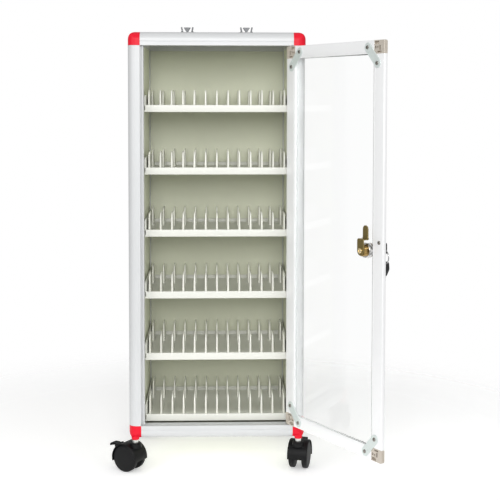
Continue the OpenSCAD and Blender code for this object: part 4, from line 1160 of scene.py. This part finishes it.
def addHoodShell(bm):
    # band over both wheels with rounded rims
    c, h = castor, hoodShape
    outer, inner, half, rim = c["hoodOuter"], c["hoodInner"], c["hoodWidth"] / 2, h["rim"]
    section = roundedLoop([(-half, inner), (half, inner), (half, outer - rim), (half - rim, outer),
                           (-half + rim, outer), (-half, outer - rim)], [0.3, 0.3, 0.8, 0.8, 0.8, 0.8], 4)
    steps, rows = 56, []
    for i in range(steps + 1):
        angle = math.radians(h["start"] + (h["end"] - h["start"]) * i / steps)
        rows.append([bm.verts.new((c["trail"] + radius * math.cos(angle), side,
                                   c["wheelRadius"] + radius * math.sin(angle)))
                     for side, radius in section])
    bridge(bm, rows, caps=True)


def hoodSolid():
    c, h = castor, hoodShape
    bm = bmesh.new()
    addHoodShell(bm)
    centre = moved(c["trail"], 0, c["wheelRadius"])
    axle, web, boss, bore = centre @ turned(90, "X"), c["web"] / 2, h["axleBoss"], h["axleBore"]
    # wedge between the wheels, with a boss round the axle and the turret round the stem
    wedge = [(0, 0)] + arcPoints(0, 0, c["hoodInner"] + 0.4, h["start"], h["end"], 48)
    addExtrusion(bm, wedge, -web, web, alongY(centre))
    addLathe(bm, [(bore, -web), (boss - 0.5, -web), (boss, 0.5 - web), (boss, web - 0.5),
                  (boss - 0.5, web), (bore, web)], axle, closed=True)
    r, low, high, stem = h["turret"], c["turretLow"], c["turretHigh"], h["bore"]
    addLathe(bm, [(stem, low), (r + h["flare"], low), (r + 0.3, low + 4), (r, high - 0.8), (r - 0.8, high),
                  (stem, high)], steps=40, closed=True)
    brake = moved(c["brakeX"], 0, c["brakeZ"]) @ turned(90, "X")
    pocket, cheek = h["hub"] + c["gap"], h["cheekY"]
    cut = bmesh.new()
    addLathe(cut, [(pocket, -cheek), (pocket, cheek)], brake, 32)
    addLathe(cut, [(stem, c["stemLow"] - 1), (stem, high + 1)], steps=40)
    addLathe(cut, [(bore, -web - 1), (bore, web + 1)], axle, 28)
    bm = carved(bm, cut, True)
    half = h["cheek"] / 2
    for side in (-1, 1):
        middle = side * (cheek + half)
        addLathe(bm, pinProfile(h["cheekRadius"], middle - half, middle + half), brake, 28)
    addLathe(bm, [(h["pin"], -cheek - 1), (h["pin"], cheek + 1)], brake, 20)
    return bm


def wheelPair():
    r, w = castor["wheelRadius"], castor["wheelWidth"]
    start = castor["web"] / 2 + castor["gap"]
    # tread with rounded shoulders, a fine groove and a slightly domed face
    profile = [(0, 1), (3, 1), (3.4, 0), (r - 1.4, 0), (r - 0.3, 0.5), (r, 1.6), (r, w - 3.4),
               (r - 0.3, w - 2.5), (r - 1.2, w - 1.6), (r - 2.6, w - 1.0), (r - 3.0, w - 1.3),
               (r - 3.4, w - 0.85), (r - 9, w - 0.2), (r - 16, w), (0, w)]
    centre = moved(castor["trail"], 0, r) @ turned(90, "X")
    bm = bmesh.new()
    for side in (0, 180):
        addLathe(bm, profile, centre @ turned(side, "X") @ moved(0, 0, start), 72)
    addLathe(bm, [(3, -start - 2), (3, start + 2)], centre, 28)
    return bm


leverShape = {"hubHalf": 6.7, "pedalHalf": 8, "neck": 5,
              # side outline of the pedal round its pivot, arched up and turned down at its tip
              "under": [(10, 1.2), (13.0, 0.8), (14.2, -0.4), (14.5, -1.5)],
              "tip": [(16.2, -1.4), (17, -0.5), (16.9, 1.4), (15.6, 3.1)],
              "top": [(12.6, 3.9), (8.5, 4.1)]}


def brakeLever():
    h, v = hoodShape, leverShape
    pedal = v["under"] + v["tip"] + v["top"]
    outline = arcPoints(0, 0, h["hub"], 96, 322, 20) + [(v["neck"], 0.5)] + pedal + [(4, 3.7)]
    bore = holeLoop(0, 0, h["pin"] + 0.05)
    bm = bmesh.new()
    addExtrusion(bm, outline, -v["hubHalf"], v["hubHalf"], alongY(), 0.35, [bore])
    tab = roundedLoop([(v["neck"], 0.6)] + pedal + [(v["neck"], 3.7)], 0.5, 3)
    addExtrusion(bm, tab, -v["pedalHalf"], v["pedalHalf"], alongY(), 0.7)
    return bm


def buildCastors():
    brake = moved(castor["brakeX"], 0, castor["brakeZ"])
    for site in castorSites:
        for node, suffix, slot, body, build, place in (
                ("castor_hood_", "_shell", "castor_black", "castor_", hoodSolid, Matrix()),
                ("castor_wheels_", "_pair", "wheel_black", "wheels_", wheelPair, Matrix()),
                ("brake_lever_", "_tab", "castor_black", "brake_", brakeLever, brake)):
            bm = bmesh.new()
            addCopies(bm, build(), [atCastor(site) @ place])
            makePiece(nodePiece(node + site, suffix, slot, body + site), bm)


stages = {
    "frame pieces": (buildFrameBars, buildCorners),
    "trays": (buildTrays, buildDividers, buildRivets),
    "door": (buildDoorBars, buildDoorBlocks, buildPane, buildBraces, buildDoorScrews, buildHingePins),
    "lock and keys": (buildBarrel, buildNut, buildPlug, buildCam, buildCamScrew, buildKeys, buildKeyRing),
    "handle": (buildBrackets, buildHandle),
    "castors": (buildStems, buildCastors),
}
for stage, builders in stages.items():
    for build in builders:
        build()
    print(stage, "made")

for name in ("panel_left", "panel_right", "panel_back", "panel_top", "panel_bottom"):
    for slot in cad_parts[name].material_slots:
        slot.material = materials["panel_grey"]


# camera

cameraFit = {
    "place": (-4.04, -2095.1, 607.2), "yaw": 1.839, "pitch": 3.096, "roll": 0.077,
    "focal": 1099.5, "centreRow": 162.4, "picture": 500,
}


def makeCamera():
    f = cameraFit
    yaw, pitch, roll = (math.radians(f[k]) for k in ("yaw", "pitch", "roll"))
    ahead = Vector((math.sin(yaw) * math.cos(pitch), math.cos(yaw) * math.cos(pitch), -math.sin(pitch)))
    right = Vector((math.cos(yaw), -math.sin(yaw), 0))
    up = right.cross(ahead)
    right, up = right * math.cos(roll) + up * math.sin(roll), up * math.cos(roll) - right * math.sin(roll)
    data = bpy.data.cameras.new("camera")
    data.sensor_width = 36
    data.lens = f["focal"] / f["picture"] * data.sensor_width
    data.shift_y = (f["centreRow"] - f["picture"] / 2) / f["picture"]
    data.clip_start, data.clip_end = 0.05, 50
    camera = newObject("camera", data)
    turn = Matrix((right, up, -ahead)).transposed().to_4x4()
    camera.matrix_world = Matrix.Translation(Vector(f["place"]) * 0.001) @ turn
    bpy.context.scene.camera = camera


# floor and light

lamps = {
    "left": {"place": (-2.0, -2.3, 1.2), "aim": (0, 0, 0.38), "size": 1.6, "power": 25},
    "right": {"place": (1.9, -2.2, 1.1), "aim": (0, 0, 0.4), "size": 1.6, "power": 12.5},
    "front": {"place": (0.0, -2.9, 1.25), "aim": (0, 0, 0.25), "size": 1.0, "power": 35},
    "above": {"place": (0, -0.6, 3.0), "aim": (0, 0, 0.3), "size": 2.4, "power": 5},
}


def makeLamps():
    for name, lamp in lamps.items():
        data = bpy.data.lights.new(name, "AREA")
        data.shape, data.size, data.energy = "SQUARE", lamp["size"], lamp["power"]
        obj = newObject(name, data)
        obj.location = lamp["place"]
        aim = Vector(lamp["aim"]) - Vector(lamp["place"])
        obj.rotation_euler = aim.to_track_quat("-Z", "Y").to_euler()


studioLight = 0.46  # what the pieces get from all round, the camera itself sees white


def makeWorld():
    world = bpy.data.worlds.new("studio")
    bpy.context.scene.world = world
    world.use_nodes = True
    tree = world.node_tree
    tree.nodes.clear()
    rays = tree.nodes.new("ShaderNodeLightPath").outputs
    seen = mathNode(tree, "MAXIMUM", rays["Is Camera Ray"], rays["Is Transmission Ray"])
    studio = addNode(tree, "ShaderNodeBackground", {"Color": (1, 1, 1, 1), "Strength": studioLight})
    white = addNode(tree, "ShaderNodeBackground", {"Color": (1, 1, 1, 1)})
    mixedSurface(tree, seen, studio, white, tree.nodes.new("ShaderNodeOutputWorld"))


floorLook = {"size": 9, "dark": 0.93, "light": 0.96, "cloud": 3, "glow": 0.3, "fade": (0.45, 0.95)}


def makeFloor():
    look = floorLook
    bm = bmesh.new()
    bmesh.ops.create_grid(bm, x_segments=4, y_segments=4, size=look["size"])
    floor = newObject("floor", meshFrom(bm, "floor"))
    floor.location.z = castor["floor"] * 0.001
    material, tree, shader, place = startMaterial("paleFloor")
    cloud = addNode(tree, "ShaderNodeTexNoise", {"Vector": place, "Scale": look["cloud"]})
    tone = addNode(tree, "ShaderNodeMix", {}, data_type="RGBA")
    fillInputs(tree, tone, {"Factor": cloud.outputs["Fac"], 6: (*[look["dark"]] * 3, 1),
                            7: (*[look["light"]] * 3, 1)})
    fillInputs(tree, shader, {
        "Base Color": tone.outputs[2], "Roughness": 0.9, "Specular IOR Level": 0.1,
        "Emission Color": (1, 1, 1, 1), "Emission Strength": look["glow"]})
    # far from the cabinet the floor gives way to the white behind it
    span = addNode(tree, "ShaderNodeVectorMath", {0: place}, operation="LENGTH")
    near, far = look["fade"]
    fade = addNode(tree, "ShaderNodeMapRange",
                   {"Value": span.outputs["Value"], "From Min": near, "From Max": far},
                   interpolation_type="SMOOTHSTEP")
    clear = tree.nodes.new("ShaderNodeBsdfTransparent")
    mixedSurface(tree, fade.outputs["Result"], shader, clear)
    floor.data.materials.append(material)


makeCamera()
makeLamps()
makeWorld()
makeFloor()
bpy.context.scene.view_settings.view_transform = "Standard"
print("camera, light and floor made")
